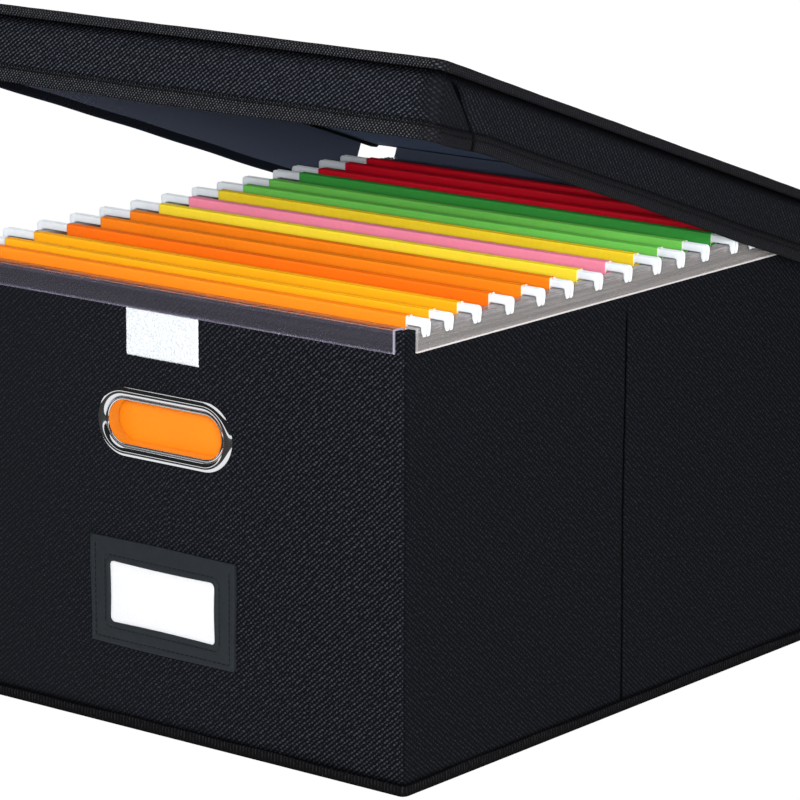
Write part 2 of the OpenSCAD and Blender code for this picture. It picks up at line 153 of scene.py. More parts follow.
# The camera that was fitted to the photograph
azimuth, elevation, roll = (math.radians(a) for a in (38.490, 13.2921, 0.1655))
eye, lens_mm, sensor_mm = (1.51354, -1.89561, 0.72556), 197.754, 36
back = np.array([math.sin(azimuth) * math.cos(elevation),
                 -math.cos(azimuth) * math.cos(elevation), math.sin(elevation)])
level_right = np.array([math.cos(azimuth), math.sin(azimuth), 0])
level_up = np.cross(back, level_right)
right = level_right * math.cos(roll) + level_up * math.sin(roll)
up = -level_right * math.sin(roll) + level_up * math.cos(roll)
camera = bpy.data.objects.new("camera", bpy.data.cameras.new("camera"))
camera.data.lens, camera.data.sensor_width = lens_mm, sensor_mm
camera.matrix_world = Matrix([*np.stack([right, up, back, eye], -1).tolist(), [0, 0, 0, 1]])
scene.collection.objects.link(camera)
scene.camera = camera
scene.view_settings.view_transform = "Standard"


# ---------------------------------------------------------------- base
# A board covered in the woven cloth, under the walls, with a loose lining-covered board on
# it that keeps the box open. Both are wrapped, so their edges are soft.

box_w, box_d, rim_h, wall, corner_r = 326, 386, 247, 6, 3
base_t, insert_t, insert_gap = 3, 3, 1


def rounded_outline(u, width, depth, radius):
    """Rounded rectangle: a corner centre, carried along the straight runs, plus radius times
    the outward direction, which turns only in the corners. u runs 0 to 9, anticlockwise from
    the middle of the front, one unit for each run or corner. Gives points and directions."""
    a, b = width / 2 - radius, depth / 2 - radius
    marks = np.arange(10)
    cx = np.interp(u, marks, [0, a, a, a, a, -a, -a, -a, -a, 0])
    cy = np.interp(u, marks, [-b, -b, -b, b, b, b, b, -b, -b, -b])
    turn = np.radians(np.interp(u, marks, [-90, -90, 0, 0, 90, 90, 180, 180, 270, 270]))
    out = np.stack([np.cos(turn), np.sin(turn)], -1)
    return np.stack([cx, cy], -1) + radius * out, out


def outline_lengths(width, depth, radius):
    """Distance along the rounded rectangle at u = 0, 1, ... 9."""
    a, b, arc = width - 2 * radius, depth - 2 * radius, math.pi * radius / 2
    return np.cumsum([0, a / 2, arc, b, arc, a, arc, b, arc, a / 2])


def along(width, depth, radius, step, arc_points=5, extra=()):
    """Distances round the outline about step apart, closer in the corners, and at extra."""
    marks = outline_lengths(width, depth, radius)
    runs = [np.linspace(p, q, max(2, int((q - p) / step) + 1) if i % 2 == 0 else arc_points)
            for i, (p, q) in enumerate(zip(marks[:-1], marks[1:]))]
    t = np.unique(np.round(np.concatenate([*runs, np.asarray(extra, float)]), 4))
    return t[:-1], np.interp(t[:-1], marks, np.arange(10)), marks[-1]


def rows_of(*knots):
    """Numbers from knot to knot: (start, end, count), each end the next one's start."""
    return np.unique(np.round(np.concatenate([np.linspace(*k) for k in knots]), 4))


def run_of(line):
    """How far each point of a line lies from its first one, along it."""
    return np.concatenate([[0], np.cumsum(np.linalg.norm(np.diff(line, axis=0), axis=1))])


def surface(name, points, materials, slot, cloth=None, wrap=(False, False), keep=None,
            kinds=None, weld=False, sharp=60, body="root", wall_mm=0, offset=-1, rim=0, back=0,
            **marks):
    """Turns a grid of points (millimetres) over two parameters into a piece made of quads.
    cloth is the flat place of each point, with one more line where the grid wraps. keep drops
    quads, and kinds picks the material of each quad. wall_mm gives the surface a thickness,
    inwards at offset -1 and to both sides at 0, and rim and back number the materials of its
    cut edge and of its inner side. Other arrays become attributes, of which the woven cloth
    reads three: how strong its painted highlights are, how deep the painted shade is in folds,
    grooves and under overhangs, and which diagonal of the painted highlights shows."""
    m, n = points.shape[-3:-1]
    i = np.arange(m if wrap[0] else m - 1)[:, None]
    j = np.arange(n if wrap[1] else n - 1)[None, :]
    i, j = np.broadcast_arrays(i, j)
    ring = [(i, j), (i + 1, j), (i + 1, j + 1), (i, j + 1)]
    quads = np.stack([(a % m) * n + b % n for a, b in ring], -1)
    show = np.ones(i.shape, bool) if keep is None else keep
    if points.ndim == 4:
        quads = quads + (np.arange(len(points)) * m * n)[:, None, None, None]
        show = np.broadcast_to(show, quads.shape[:3])
    mesh = bpy.data.meshes.new(name)
    mesh.from_pydata((points.reshape(-1, 3) * MM).tolist(), [], quads[show].tolist())
    if cloth is not None:
        flat = np.stack([cloth[a, b] for a, b in ring], -2)[show] * MM
        mesh.uv_layers.new(name="cloth").data.foreach_set("uv", flat.astype(np.float32).ravel())
    for mark, value in marks.items():
        mesh.attributes.new(mark, "FLOAT", "POINT").data.foreach_set(
            "value", np.broadcast_to(value, points.shape[:-1]).astype(np.float32).ravel())
    for material in materials:
        mesh.materials.append(material)
    if kinds is not None:
        mesh.polygons.foreach_set("material_index",
                                  np.broadcast_to(kinds, i.shape)[show].astype(np.int32).ravel())
    if weld or keep is not None:
        work = bmesh.new()
        work.from_mesh(mesh)
        bmesh.ops.remove_doubles(work, verts=work.verts, dist=2e-6)
        bmesh.ops.dissolve_degenerate(work, edges=work.edges, dist=1e-7)
        bmesh.ops.delete(work, geom=[v for v in work.verts if not v.link_faces], context="VERTS")
        work.to_mesh(mesh)
        work.free()
    mesh.shade_smooth()
    mesh.set_sharp_from_angle(angle=math.radians(sharp))
    piece = bpy.data.objects.new(name, mesh)
    scene.collection.objects.link(piece)
    if wall_mm:
        thick = piece.modifiers.new("thickness", "SOLIDIFY")
        thick.thickness, thick.offset = wall_mm * MM, offset
        thick.material_offset_rim, thick.material_offset = rim, back
    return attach(piece, body) if body else piece


def flat_places(along_u, along_v):
    """Cloth places of a grid from the distances along its two directions."""
    return np.stack(np.broadcast_arrays(along_u[:, None], along_v[None, :]), -1)


def plate(name, width, depth, radius, z0, z1, edge, material, slot):
    """A wrapped board: from the middle of its underside out to its edge, up round the edge and
    back to the middle of the top, the outline shrinking to a point at both ends."""
    _, u, _ = along(width, depth, radius, 8)
    bend = np.radians(np.linspace(-90, 90, 9))
    inset = np.concatenate([[edge] * 6, edge * (1 - np.cos(bend)), [edge] * 6])
    height = np.concatenate([[z0] * 6, (z0 + z1) / 2 + (z1 - z0) / 2 * np.sin(bend), [z1] * 6])
    shrink = np.concatenate([np.linspace(0, 0.98, 6), [1] * 9, np.linspace(0.98, 0, 6)])
    points, out = rounded_outline(u[:, None] + 0 * inset, width, depth, radius)
    flat = (points - out * inset[:, None]) * shrink[:, None]
    grid = np.concatenate([flat, np.broadcast_to(height[:, None], (*flat.shape[:2], 1))], -1)
    return surface(name, grid, [material], slot, np.concatenate([flat, flat[:1]]),
                   (True, False), weld=True, sharp=40)


def woven(name, ground, thread, across, along_v, slant, depth=0.14, low=0.15, high=0.95,
          fleck=0.5, low_glint_ground=None):
    """Plain weave: two wave trains over the cloth's own flat places, whose product is the grid
    of raised crossings, painted in the thread colour as dots of painted highlight. slant below
    1 draws out one diagonal, and the other one on the sides, where the light picks it and the
    piece's attribute for it is 1. across and along_v are in cycles per millimetre. Where the
    piece's glint attribute is low, the painted highlights fade and the ground turns to the
    flatter colour given; its crease attribute is painted shade that darkens folds, grooves and
    the cloth under overhangs."""
    material, tree = blank_material(name)
    place = add(tree, "UVMap", uv_map="cloth")
    wander = add(tree, "TexNoise", {"Vector": place, "Scale": 300.0, "Detail": 2.0})
    shift = add(tree, "MapRange", {0: wander, 3: -2.4, 4: 2.4})
    turns = []
    # Painted highlight: a per-piece attribute turns the pale dots to the diagonal that the light
    # picks on the sides
    turned = add(tree, "Attribute", attribute_name="turned").outputs["Fac"]
    wave_x, wave_y = (2 * math.pi / MM * cycles for cycles in (across, along_v))
    for sign, front, side in ((-1, 1, slant), (1, slant, 1)):
        lean = add(tree, "MapRange", {0: turned, 3: front, 4: side})
        scaled = add(tree, "VectorMath", {0: place, 1: (wave_x, sign * wave_y, 0)},
                     operation="DOT_PRODUCT")
        moved = add(tree, "Math", {0: scaled, 1: shift})
        wave = add(tree, "Math", {0: moved}, operation="COSINE")
        turns.append(add(tree, "Math", {0: wave, 1: lean}, operation="MULTIPLY"))
    crossing = add(tree, "Math", {0: turns[0], 1: turns[1]})
    raised = add(tree, "MapRange", {0: crossing, 1: low, 2: high * (1 + slant)},
                 interpolation_type="SMOOTHSTEP")
    uneven = add(tree, "TexNoise", {"Vector": place, "Scale": 380.0, "Detail": 4.0})
    amount = add(tree, "MapRange", {0: uneven, 1: 0.36, 2: 0.68, 3: 1 - fleck, 4: 1.3})
    dots = add(tree, "Math", {0: raised, 1: amount}, operation="MULTIPLY")
    base = linear(ground)
    # Painted highlight: a per-piece attribute scales the pale dots, and where it is low the
    # ground takes a flatter colour
    if low_glint_ground:
        nap = add(tree, "Attribute", attribute_name="nap").outputs["Fac"]
        dots = add(tree, "Math", {0: dots, 1: nap}, operation="MULTIPLY")
        base = add(tree, "Mix", {0: nap, 6: linear(low_glint_ground), 7: base}, data_type="RGBA")
    # Painted highlight: the raised crossings take the pale thread colour
    tint = add(tree, "Mix", {0: dots, 6: base, 7: linear(thread)}, data_type="RGBA")
    # Painted shade: a per-piece attribute darkens the colour in folds, in grooves and under
    # overhangs
    deep = add(tree, "Attribute", attribute_name="crease").outputs["Fac"]
    tint = add(tree, "Mix", {0: deep, 6: tint, 7: linear("020203")}, data_type="RGBA")
    relief = add(tree, "Bump", {"Height": dots, "Strength": 0.9, "Distance": depth * MM})
    skin = add(tree, "BsdfPrincipled", {"Base Color": tint, "Roughness": 0.82,
                                        "Specular IOR Level": 0.02, "Normal": relief})
    add(tree, "OutputMaterial", {0: skin})
    return material


# Polyester canvas, piece-dyed black: coarse plain weave, warp 1.7 mm and weft 1.4 mm apart,
# whose raised crossings are painted as rows of pale dots, a painted highlight.
wall_canvas = woven("woven_polyester_canvas", "0c0d11", "3c3e45", 0.297, 0.353, 0.5,
                    low=-0.1, fleck=0.75, low_glint_ground="17181c")


def grained(name, dark, light, scale, detail, skin, bump=None, level=(0, 1), gloss=None):
    """A finish with a grain, which is noise on Object coordinates of so many cycles a metre.
    It takes the colour from dark to light between two levels, the height by bump's strength
    and depth in millimetres, and the roughness from gloss's first value to its second. skin
    holds the surface's other inputs."""
    material, tree = blank_material(name)
    place = add(tree, "TexCoord").outputs["Object"]
    grain = add(tree, "TexNoise", {"Vector": place, "Scale": scale, "Detail": detail})
    share = add(tree, "MapRange", {0: grain, 1: level[0], 2: level[1]})
    skin = {**skin, "Base Color": add(
        tree, "Mix", {0: share, 6: linear(dark), 7: linear(light)}, data_type="RGBA")}
    if bump:
        skin["Normal"] = add(tree, "Bump", {"Height": grain, "Strength": bump[0],
                                            "Distance": bump[1] * MM})
    if gloss:
        skin["Roughness"] = add(tree, "MapRange", {0: grain, 3: gloss[0], 4: gloss[1]})
    add(tree, "OutputMaterial", {0: add(tree, "BsdfPrincipled", skin)})
    return material


# Calendered non-woven polyester: smooth and matt, with a faint felted fleck 1 mm across.
felt = {"Roughness": 0.85, "Specular IOR Level": 0.04, "Sheen Weight": 0.6,
        "Sheen Roughness": 0.5, "Sheen Tint": linear("5f6f8c")}
navy_lining = grained("nonwoven_polyester_lining", "474e60", "50586a", 900.0, 3.0, felt,
                      bump=(0.25, 0.1))
base_board = plate("base_board", box_w - 1, box_d - 1, corner_r, 0.4, base_t, 0.8, wall_canvas,
                   "woven_fabric")
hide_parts("base_panel")
insert_in = 2 * (wall + insert_gap)
insert_board = plate("base_insert_board", box_w - insert_in, box_d - insert_in, 2,
                     base_t + 0.05, base_t + insert_t, 0.8, navy_lining, "lining_fabric")
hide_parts("base_insert")


# ---------------------------------------------------------------- walls
# Greyboard walls, two to a side with a fold between, inside one woven cover that is glued
# over them, turned over the rim and down the inside onto a smooth lining.

# Greyboard, pressed from waste paper: matt, its pulp in soft flecks 1.5 mm across.
greyboard = grained("pressed_greyboard", "7d766a", "9a9284", 700.0, 4.0, {"Roughness": 0.9},
                    bump=(0.4, 0.1))


def dress(nodes, material):
    """Gives CAD nodes that stay a material."""
    for name in nodes:
        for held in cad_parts[name].material_slots:
            held.material = material
        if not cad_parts[name].material_slots:
            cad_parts[name].data.materials.append(material)


dress(["front_board", "back_board", "left_front_board", "left_rear_board",
       "right_front_board", "right_rear_board", "lid_board"], greyboard)

turn_in, round_r, cloth_t, fold_deep, board_stop = 20, 1.8, 0.7, 0.6, -0.74
handle_z, slot_w, slot_h, barrel_t = 171.8, 80, 24, 1.2
hole_w, hole_h = slot_w + 2 * barrel_t + 0.2, slot_h + 2 * barrel_t + 0.2


def cut_hole(x, z, on_end):
    """Pulls grid points near a stadium hole's edge onto it, on the end walls, and drops the
    quads that lie all inside it, on a grid that wraps along u."""
    half = (hole_w - hole_h) / 2
    near = np.clip(x, -half, half)
    off = np.hypot(x - near, z - handle_z)
    inside = on_end & (off < hole_h / 2 - 0.01)
    near_edge = on_end & (off > hole_h / 2 - 2.9) & (off < hole_h / 2 + 0.6)
    pull = np.where(near_edge, hole_h / 2 / np.maximum(off, 1e-6), 1)
    x, z = near + (x - near) * pull, handle_z + (z - handle_z) * pull
    ring = np.concatenate([inside, inside[:1]], 0)
    return x, z, ~(ring[1:, 1:] & ring[:-1, 1:] & ring[1:, :-1] & ring[:-1, :-1])


hole_span = np.arange(-48, 48.1, 2)


def at_holes(marks):
    """Distances round an outline, given at its marks, past the hand holes front and back."""
    return np.concatenate([hole_span[hole_span >= 0], marks[-1] + hole_span[hole_span < 0],
                           marks[[4, 5]].mean() + hole_span])


front_run = outline_lengths(box_w, box_d, corner_r)
# Lines of points are closer round the hand holes, at the fold in each side and at the foot
crease = np.array([-4, -2.5, -1.5, -1, -0.7, -0.4, 0, 0.4, 0.7, 1, 1.5, 2.5, 4])
t, u, girth = along(box_w, box_d, corner_r, 6, 7, np.concatenate([
    at_holes(front_run), front_run[2:4].mean() + crease, front_run[6:8].mean() + crease]))
rise = rows_of((base_t, 9, 7), (9, 150, 40), (150, 194, 23), (194, 232, 8), (232, 245.2, 4))
over = np.radians(np.linspace(0, 90, 5)[1:])
profile_out = np.concatenate([0 * rise, round_r * (1 - np.cos(over)), [wall / 2],
                              wall - round_r + round_r * np.sin(over), [wall] * 8])
profile_z = np.concatenate([rise, rim_h - round_r + round_r * np.sin(over), [rim_h],
                            rim_h - round_r + round_r * np.cos(over),
                            np.linspace(rim_h - 3, rim_h - turn_in, 8)])
cloth_v = run_of(np.stack([profile_out, profile_z], -1))
outer, out_way = rounded_outline(u[:, None] + 0 * profile_out, box_w, box_d, corner_r)
x, y = outer[..., 0], outer[..., 1]
z = np.broadcast_to(profile_z, x.shape).copy()
# The cloth lies a little loose on the boards and dips into the fold, which leans and wavers
on_face, on_flank = profile_out[None, :] < 0.1, np.abs(x) > box_w / 2 - 13
slack = 0.22 * (np.sin(x / 41 + 1) * np.sin(z / 33) + np.sin(y / 37) * np.sin(z / 29 + 2))
slack -= 0.25
fold = np.exp(-(y / (1.1 + 0.5 * np.exp(-(z - 8) / 5).clip(0, 3))) ** 2) * on_flank
fold_line = fold * np.clip((232 - z) / 12, 0, 1) * fold_deep
fade = np.clip((z - 4) / 12, 0, 1) * np.clip((236 - z) / 14, 0, 1)
push = np.where(on_face, np.maximum(slack * fade - fold_line, board_stop), 0)
x, y = x + out_way[..., 0] * push, y + out_way[..., 1] * push
limit_x, limit_y = box_w / 2 - profile_out, box_d / 2 - profile_out
x, y = np.clip(x, -limit_x, limit_x), np.clip(y, -limit_y, limit_y)
waver = 0.7 * np.sin(z / 31 + 0.6) + 0.15 * np.sin(z / 3.1)
y = y + waver * np.exp(-(y / 14) ** 2) * on_flank
on_end = on_face & (np.abs(out_way[..., 1]) > 0.99)
x, z, clear = cut_hole(x, z, on_end)
# Painted shade: darker where the cloth meets the binding, in the fold and round the corners
on_side = np.abs(out_way[..., 0])
bend = 0.6 * np.exp(-((on_side - 0.8) / 0.22) ** 2) * (z < 246)
painted_crease_shade = np.where(on_face, np.maximum.reduce([
    0.95 * np.exp(-((z - 6.4) / 2) ** 2), np.clip(fold_line * 2, 0, 0.97), bend]), 0)
# Painted highlight: the pale dots grow stronger towards the right of the front, and are weaker on
# the sides, where they take the other diagonal
nap = (0.64 + 0.34 * np.clip(x / 100, -1, 1)) * (1 - on_side) + 0.45 * on_side
cover = surface("cover_cloth", np.stack([x, y, z], -1), [wall_canvas], "woven_fabric",
                flat_places(np.append(t, girth), cloth_v), (True, False), keep=clear,
                wall_mm=cloth_t, nap=nap, crease=painted_crease_shade, turned=on_side)
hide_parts("outer_cover")

inner_w, inner_d = box_w - 2 * wall, box_d - 2 * wall
t, u, inner_girth = along(inner_w, inner_d, 0.8, 6, 3,
                          at_holes(outline_lengths(inner_w, inner_d, 0.8)))
rise = rows_of((base_t + 0.3, 150, 20), (150, 194, 23), (194, rim_h - turn_in + 6, 6))
points, out_way = rounded_outline(u[:, None] + 0 * rise, inner_w, inner_d, 0.8)
x, y = points[..., 0], points[..., 1]
z = np.broadcast_to(rise, x.shape).copy()
# Its top edge is tucked behind the cover's turned-in edge
tuck = np.clip((z - (rim_h - turn_in - 1)) / 1.5, 0, 1) * 0.75
x, y = x + out_way[..., 0] * tuck, y + out_way[..., 1] * tuck
on_end = np.abs(out_way[..., 1]) > 0.99
x, z, clear = cut_hole(x, z, on_end)
lining = surface("wall_lining", np.stack([x, y, z], -1)[:, ::-1], [navy_lining],
                 "lining_fabric", flat_places(np.append(t, inner_girth), rise[::-1]),
                 (True, False), keep=clear[:, ::-1], wall_mm=0.5)
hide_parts("inner_lining")


# ---------------------------------------------------------------- foot binding
# A ribbed polyester tape sewn round the foot, its rounded top edge standing proud of the
# cover so that a groove runs above it, darkened on the cover by painted shade.

binding_z, binding_h, binding_t = 0.4, 5.4, 0.8
rib_pitch = 1.1
# Polyester grosgrain tape: matt black, its ribs across it painted with a faint highlight.
ribbed_tape = woven("ribbed_polyester_tape", "0e0e0f", "232326", 0.5 / rib_pitch, 0.05, 1.0,
                    depth=0.15, low=0.1, high=0.8, fleck=0.8)
t, u, girth = along(box_w, box_d, corner_r, rib_pitch / 2, 6)
lip = np.radians(np.linspace(0, 90, 5))
tape_out = np.concatenate([[-4, -1, binding_t * 0.7], [binding_t] * 3,
                           binding_t * np.cos(lip), [-0.1]])
tape_z = np.concatenate([[-0.3, -0.3, -0.25], np.linspace(0.3, 3, 3),
                         binding_h - binding_t + binding_t * np.sin(lip), [binding_h]])
points, out_way = rounded_outline(u[:, None] + 0 * tape_out, box_w, box_d, corner_r)
rib = 0.07 * np.sin(2 * math.pi * t[:, None] / rib_pitch) * (tape_out > 0.3)
sway = 0.4 * np.sin(t[:, None] / 31) + 0.3 * np.sin(t[:, None] / 11 + 1)
flat = points + out_way * (tape_out + rib)[..., None]
height = binding_z + tape_z + sway * np.clip(tape_z / binding_h, 0, 1) ** 2
tape_v = run_of(np.stack([tape_out, tape_z], -1))
tape = surface("foot_binding", np.concatenate([flat, height[..., None]], -1), [ribbed_tape],
               "binding_tape", flat_places(np.append(t, girth), tape_v), (True, False),
               wall_mm=0.25)
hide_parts("base_binding")


# ---------------------------------------------------------------- rails
# Clear extruded PVC channels, 1 mm thick, pressed over the rim. Faint die lines run along
# them and the cut ends are frosted. A painted highlight runs along the lower edge, and a
# painted reflection greys the side rails.

rail_top, rail_leg = 248, 13


def rail_plastic(name, haze_and_painted_reflection, frost_and_glint, line, axis, end):
    """Clear extruded PVC: die lines along it, 2 mm apart, carry a haze, which at its higher
    setting is a painted reflection. The lower edge carries a painted highlight, and the cut
    ends, 1 mm wide, are frosted. axis is the way it runs, end its half length."""
    material, tree = blank_material(name)
    place = add(tree, "TexCoord").outputs["Object"]
    drawn_out = add(tree, "Mapping", {0: place, "Scale": (6, 6, 500)})
    die_lines = add(tree, "TexNoise", {"Vector": drawn_out, "Scale": 1.0, "Detail": 3.0})
    relief = add(tree, "Bump", {"Height": die_lines, "Strength": 0.06, "Distance": 0.04 * MM})
    clear = add(tree, "BsdfPrincipled", {
        "Base Color": linear("e6e2f2"), "Roughness": 0.07, "IOR": 1.4,
        "Transmission Weight": 1.0, "Normal": relief})
    frost_and_glint_layer = add(tree, "BsdfPrincipled", {"Base Color": linear(frost_and_glint), "Roughness": 0.4})
    parts = add(tree, "SeparateXYZ", {0: place})
    edge_z = rail_top - rail_leg
    # Painted highlight: a bright band along the lower edge of each leg, as strong as line says
    lower_edge_glint = add(tree, "MapRange", {0: parts.outputs[2], 1: (edge_z + 0.8) * MM,
                                   2: (edge_z + 1.1) * MM, 3: line, 4: 0.0})
    length = add(tree, "Math", {0: parts.outputs[axis]}, operation="ABSOLUTE")
    ends = add(tree, "MapRange", {0: length, 1: (end - 0.9) * MM, 2: (end - 0.7) * MM,
                                  3: 0.0, 4: 0.5})
    streaks = add(tree, "MapRange", {0: die_lines, 1: 0.35, 2: 0.65, 3: haze_and_painted_reflection * 0.85,
                                     4: haze_and_painted_reflection * 1.12})
    share = add(tree, "Math", {0: lower_edge_glint, 1: ends}, operation="MAXIMUM")
    share = add(tree, "Math", {0: share, 1: streaks}, operation="MAXIMUM")
    mix = add(tree, "MixShader", {0: share, 1: clear, 2: frost_and_glint_layer})
    add(tree, "OutputMaterial", {0: mix})
    return material


dress(["front_rail", "back_rail"],
      rail_plastic("extruded_clear_pvc", 0.06, "cdc8e0", 0.14, 0, box_w / 2 - 6.5))
# The side rails' strong haze and bright lower edge are a painted reflection and a painted
# highlight that make them grey
dress(["left_rail", "right_rail"],
      rail_plastic("extruded_pvc_painted_reflection", 0.32, "d3cdcb", 0.95, 1, box_d / 2 - 8.5))


# ---------------------------------------------------------------- hand holes
# Pressed steel rings in polished chrome: a domed flange outside, a stepped lip and a barrel
# through the wall, and a flat washer clenched on the inside.

flange_w, flange_rise, lip_w, lip_rise, backing_t = 7.8, 2.6, 1.9, 1.2, 1.4
# Bright chrome plate, polished: a mirror with a faint, soft unevenness 4 mm across.
chrome, tree = blank_material("polished_chrome_plate")
place = add(tree, "TexCoord").outputs["Object"]
swirl = add(tree, "TexNoise", {"Vector": place, "Scale": 240.0, "Detail": 2.0})
gloss = add(tree, "MapRange", {0: swirl, 3: 0.05, 4: 0.09})
skin = add(tree, "BsdfPrincipled", {"Base Color": linear("e4e5e8"), "Metallic": 1.0,
                                    "Roughness": gloss})
add(tree, "OutputMaterial", {0: skin})


def round_hole(name, profile, side, material):
    """Carries a closed profile (out from the hole's edge, out from the wall) round the
    stadium hole in the front (side -1) or back wall (side 1)."""
    _, u, _ = along(slot_w, slot_h, slot_h / 2, 4, 33)
    points, out_way = rounded_outline(u[:, None] + 0 * profile[:, 0], slot_w, slot_h, slot_h / 2)
    flat = points + out_way * profile[:, 0, None]
    x, z = flat[..., 0], handle_z + flat[..., 1]
    y = np.broadcast_to(box_d / 2 + profile[:, 1], x.shape)
    grid = np.stack([-side * x, side * y, z], -1)
    return surface(name, grid[:, ::-1], [material], "chrome", None, (True, True), weld=True,
                   sharp=50)


dome_w = flange_w - lip_w + 0.4
dome_r = (dome_w ** 2 / 4 + flange_rise ** 2) / (2 * flange_rise)
swing = math.asin(dome_w / 2 / dome_r)
arc = np.linspace(-swing, swing, 19)
dome = np.stack([flange_w - dome_w / 2 + dome_r * np.sin(arc),
                 np.maximum(flange_rise - dome_r + dome_r * np.cos(arc), 0)], -1)
bead = np.radians(np.linspace(180, 40, 7))
lip = np.stack([lip_w / 2 * (1 + np.cos(bead)),
                lip_rise - lip_w / 2 + lip_w / 2 * np.sin(bead)], -1)
ring_profile = np.concatenate([
    [[0, -wall - backing_t], [0, -4], [0, -1.5]], lip, dome[1:],
    [[flange_w - 0.3, -0.02], [barrel_t, -0.02], [barrel_t, -wall - backing_t]]])
half_round = np.radians(np.linspace(-90, 90, 9))
wash_w = flange_w - 1
wash = np.stack([wash_w - backing_t / 2 + backing_t / 2 * np.cos(half_round),
                 -wall - backing_t / 2 + backing_t / 2 * np.sin(half_round)], -1)
washer_profile = np.concatenate([[[barrel_t + 0.02, -wall - backing_t]], wash,
                                 [[barrel_t + 0.02, -wall]]])
for side, face in ((-1, "front"), (1, "back")):
    ring = round_hole(face + "_handle_frame", ring_profile, side, chrome)
    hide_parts(face + "_handle_ring")
    washer = round_hole(face + "_handle_washer", washer_profile[::-1], side, chrome)
    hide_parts(face + "_handle_backing")


# ---------------------------------------------------------------- label holder
# A frame die-cut from grey leatherette over a stiffener, stitched to the front on three
# sides. The top stays open for a plain white card, and a welt runs round the window.

label_w, label_h, label_x, label_z = 103, 60, -2, 76
window_w, window_h, pocket_t, plate_top, border = 75.5, 34.5, 1.15, 2.3, 5
# Embossed polyurethane leatherette: pebble grain 0.7 mm across, a soft satin shine.
slate_leatherette, tree = blank_material("slate_pu_leatherette")
place = add(tree, "TexCoord").outputs["Object"]
pebble = add(tree, "TexVoronoi", {"Vector": place, "Scale": 1400.0}, feature="SMOOTH_F1")
mottle = add(tree, "TexNoise", {"Vector": place, "Scale": 160.0, "Detail": 3.0})
tint = add(tree, "Mix", {0: mottle, 6: linear("202427"), 7: linear("292d31")},
           data_type="RGBA")
relief = add(tree, "Bump", {"Height": pebble, "Strength": 0.5, "Distance": 0.12 * MM})
gloss = add(tree, "MapRange", {0: mottle, 3: 0.42, 4: 0.58})
skin = add(tree, "BsdfPrincipled", {"Base Color": tint, "Roughness": gloss,
                                    "Specular IOR Level": 0.07, "Normal": relief})
add(tree, "OutputMaterial", {0: skin})

u = np.unique(np.concatenate([np.linspace(i, i + 1, 9 if i % 2 else 15) for i in range(9)]))[:-1]
edge_pts, way = rounded_outline(u, label_w, label_h, 2)
hole_pts, _ = rounded_outline(u, window_w, window_h, 3)
swell = 0.35 * np.sin(edge_pts[:, 1] / 11) + 0.25 * np.sin(edge_pts[:, 0] / 17 + 2)
bowed = 0.5 * np.cos(np.clip(hole_pts / [window_w / 2, window_h / 2], -1, 1) * math.pi / 2)
bowed = (bowed[:, ::-1] * np.abs(way)).sum(1)
top_side = np.clip(way[:, 1], 0, 1) ** 2
seat = 0.03 + (pocket_t - 0.03) * top_side
# Rows from the window's lower edge out to the border, round the outer edge and back again:
# (from the outer edge inwards or from the window outwards, how far, height, on the wall)
rows = [("w", 0.1, pocket_t, 0), ("o", border, pocket_t, 0), ("o", border - 0.2, 0, 1),
        ("o", 0.1, 0, 1), ("o", 0, 1.9, 0), ("o", 0.15, 2.15, 0), ("o", 0.6, plate_top, 0),
        ("o", 2.6, plate_top, 0), ("o", 3.1, 2.12, 0), ("o", 3.6, 1.96, 0),
        ("o", 4.1, 2.12, 0), ("o", 4.7, plate_top, 0), ("w", 5.2, plate_top, 0),
        ("w", 4.2, 2.26, 0), ("w", 3.6, 2.1, 0), ("w", 3.0, 2.0, 0), ("w", 2.5, 2.2, 0),
        ("w", 2.0, 2.62, 0), ("w", 1.3, 2.8, 0), ("w", 0.6, 2.7, 0), ("w", 0.1, 2.3, 0),
        ("w", 0, 1.6, 0)]
columns = []
for start, off, height, on_wall in rows:
    if start == "o":
        flat, _ = rounded_outline(u, label_w - 2 * off, label_h - 2 * off, max(2 - off, 0.4))
        flat = flat + way * (swell * (0.4 + 0.6 * (off < 3)))[:, None]
        if on_wall and off > 1:
            flat = flat + way * (off * 0.9 * top_side)[:, None]
    else:
        flat = hole_pts + way * (off - bowed)[:, None]
    open_top = np.where(height < plate_top, (plate_top - height) * top_side, 0) * (
        (start == "o") and 2.7 < off < 4.6)
    lift = 0.12 * np.sin(flat[:, 0] / 13) * np.sin(flat[:, 1] / 9 + 1) * (height > 1.3)
    columns.append(np.stack([label_x + flat[:, 0], -box_d / 2 - (
        seat if on_wall else height + open_top + lift), label_z + flat[:, 1]], -1))
holder = surface("label_frame", np.stack(columns, 1), [slate_leatherette],
                 "grey_leatherette", None, (True, True), sharp=55)
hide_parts("label_holder")


def stitches(name, path, way_out, colour, slot, length=2.5, pitch=3.3, radius=0.28,
             body="root"):
    """Thread stitches along a path: each is a short capsule, its radius a half sine along its
    length, half sunk in the cloth whose outward direction is way_out."""
    gone = run_of(path)
    at = np.arange(pitch / 2, gone[-1], pitch)
    mid, ahead, out = ([np.interp(at + d, gone, q[:, k]) for k in range(3)]
                       for d, q in ((0, path), (0.5, path), (0, way_out)))
    mid, ahead, out = (np.stack(q, -1) for q in (mid, ahead, out))
    run = ahead - mid
    run /= np.linalg.norm(run, axis=1)[:, None]
    side = np.cross(run, out)
    a = np.linspace(-math.pi / 2, math.pi / 2, 6)
    ring = np.linspace(0, 2 * math.pi, 7)[:-1]
    thick = radius * np.sqrt(np.clip(np.cos(a), 0.02, 1))
    capsule = (mid[:, None, None] + run[:, None, None] * (length / 2 * np.sin(a))[:, None, None]
               + side[:, None, None] * (thick[:, None] * np.cos(ring))[..., None]
               + out[:, None, None] * (thick[:, None] * np.sin(ring) * 0.8)[..., None])
    return surface(name, capsule, [colour], slot, None, (False, True), sharp=40, body=body)


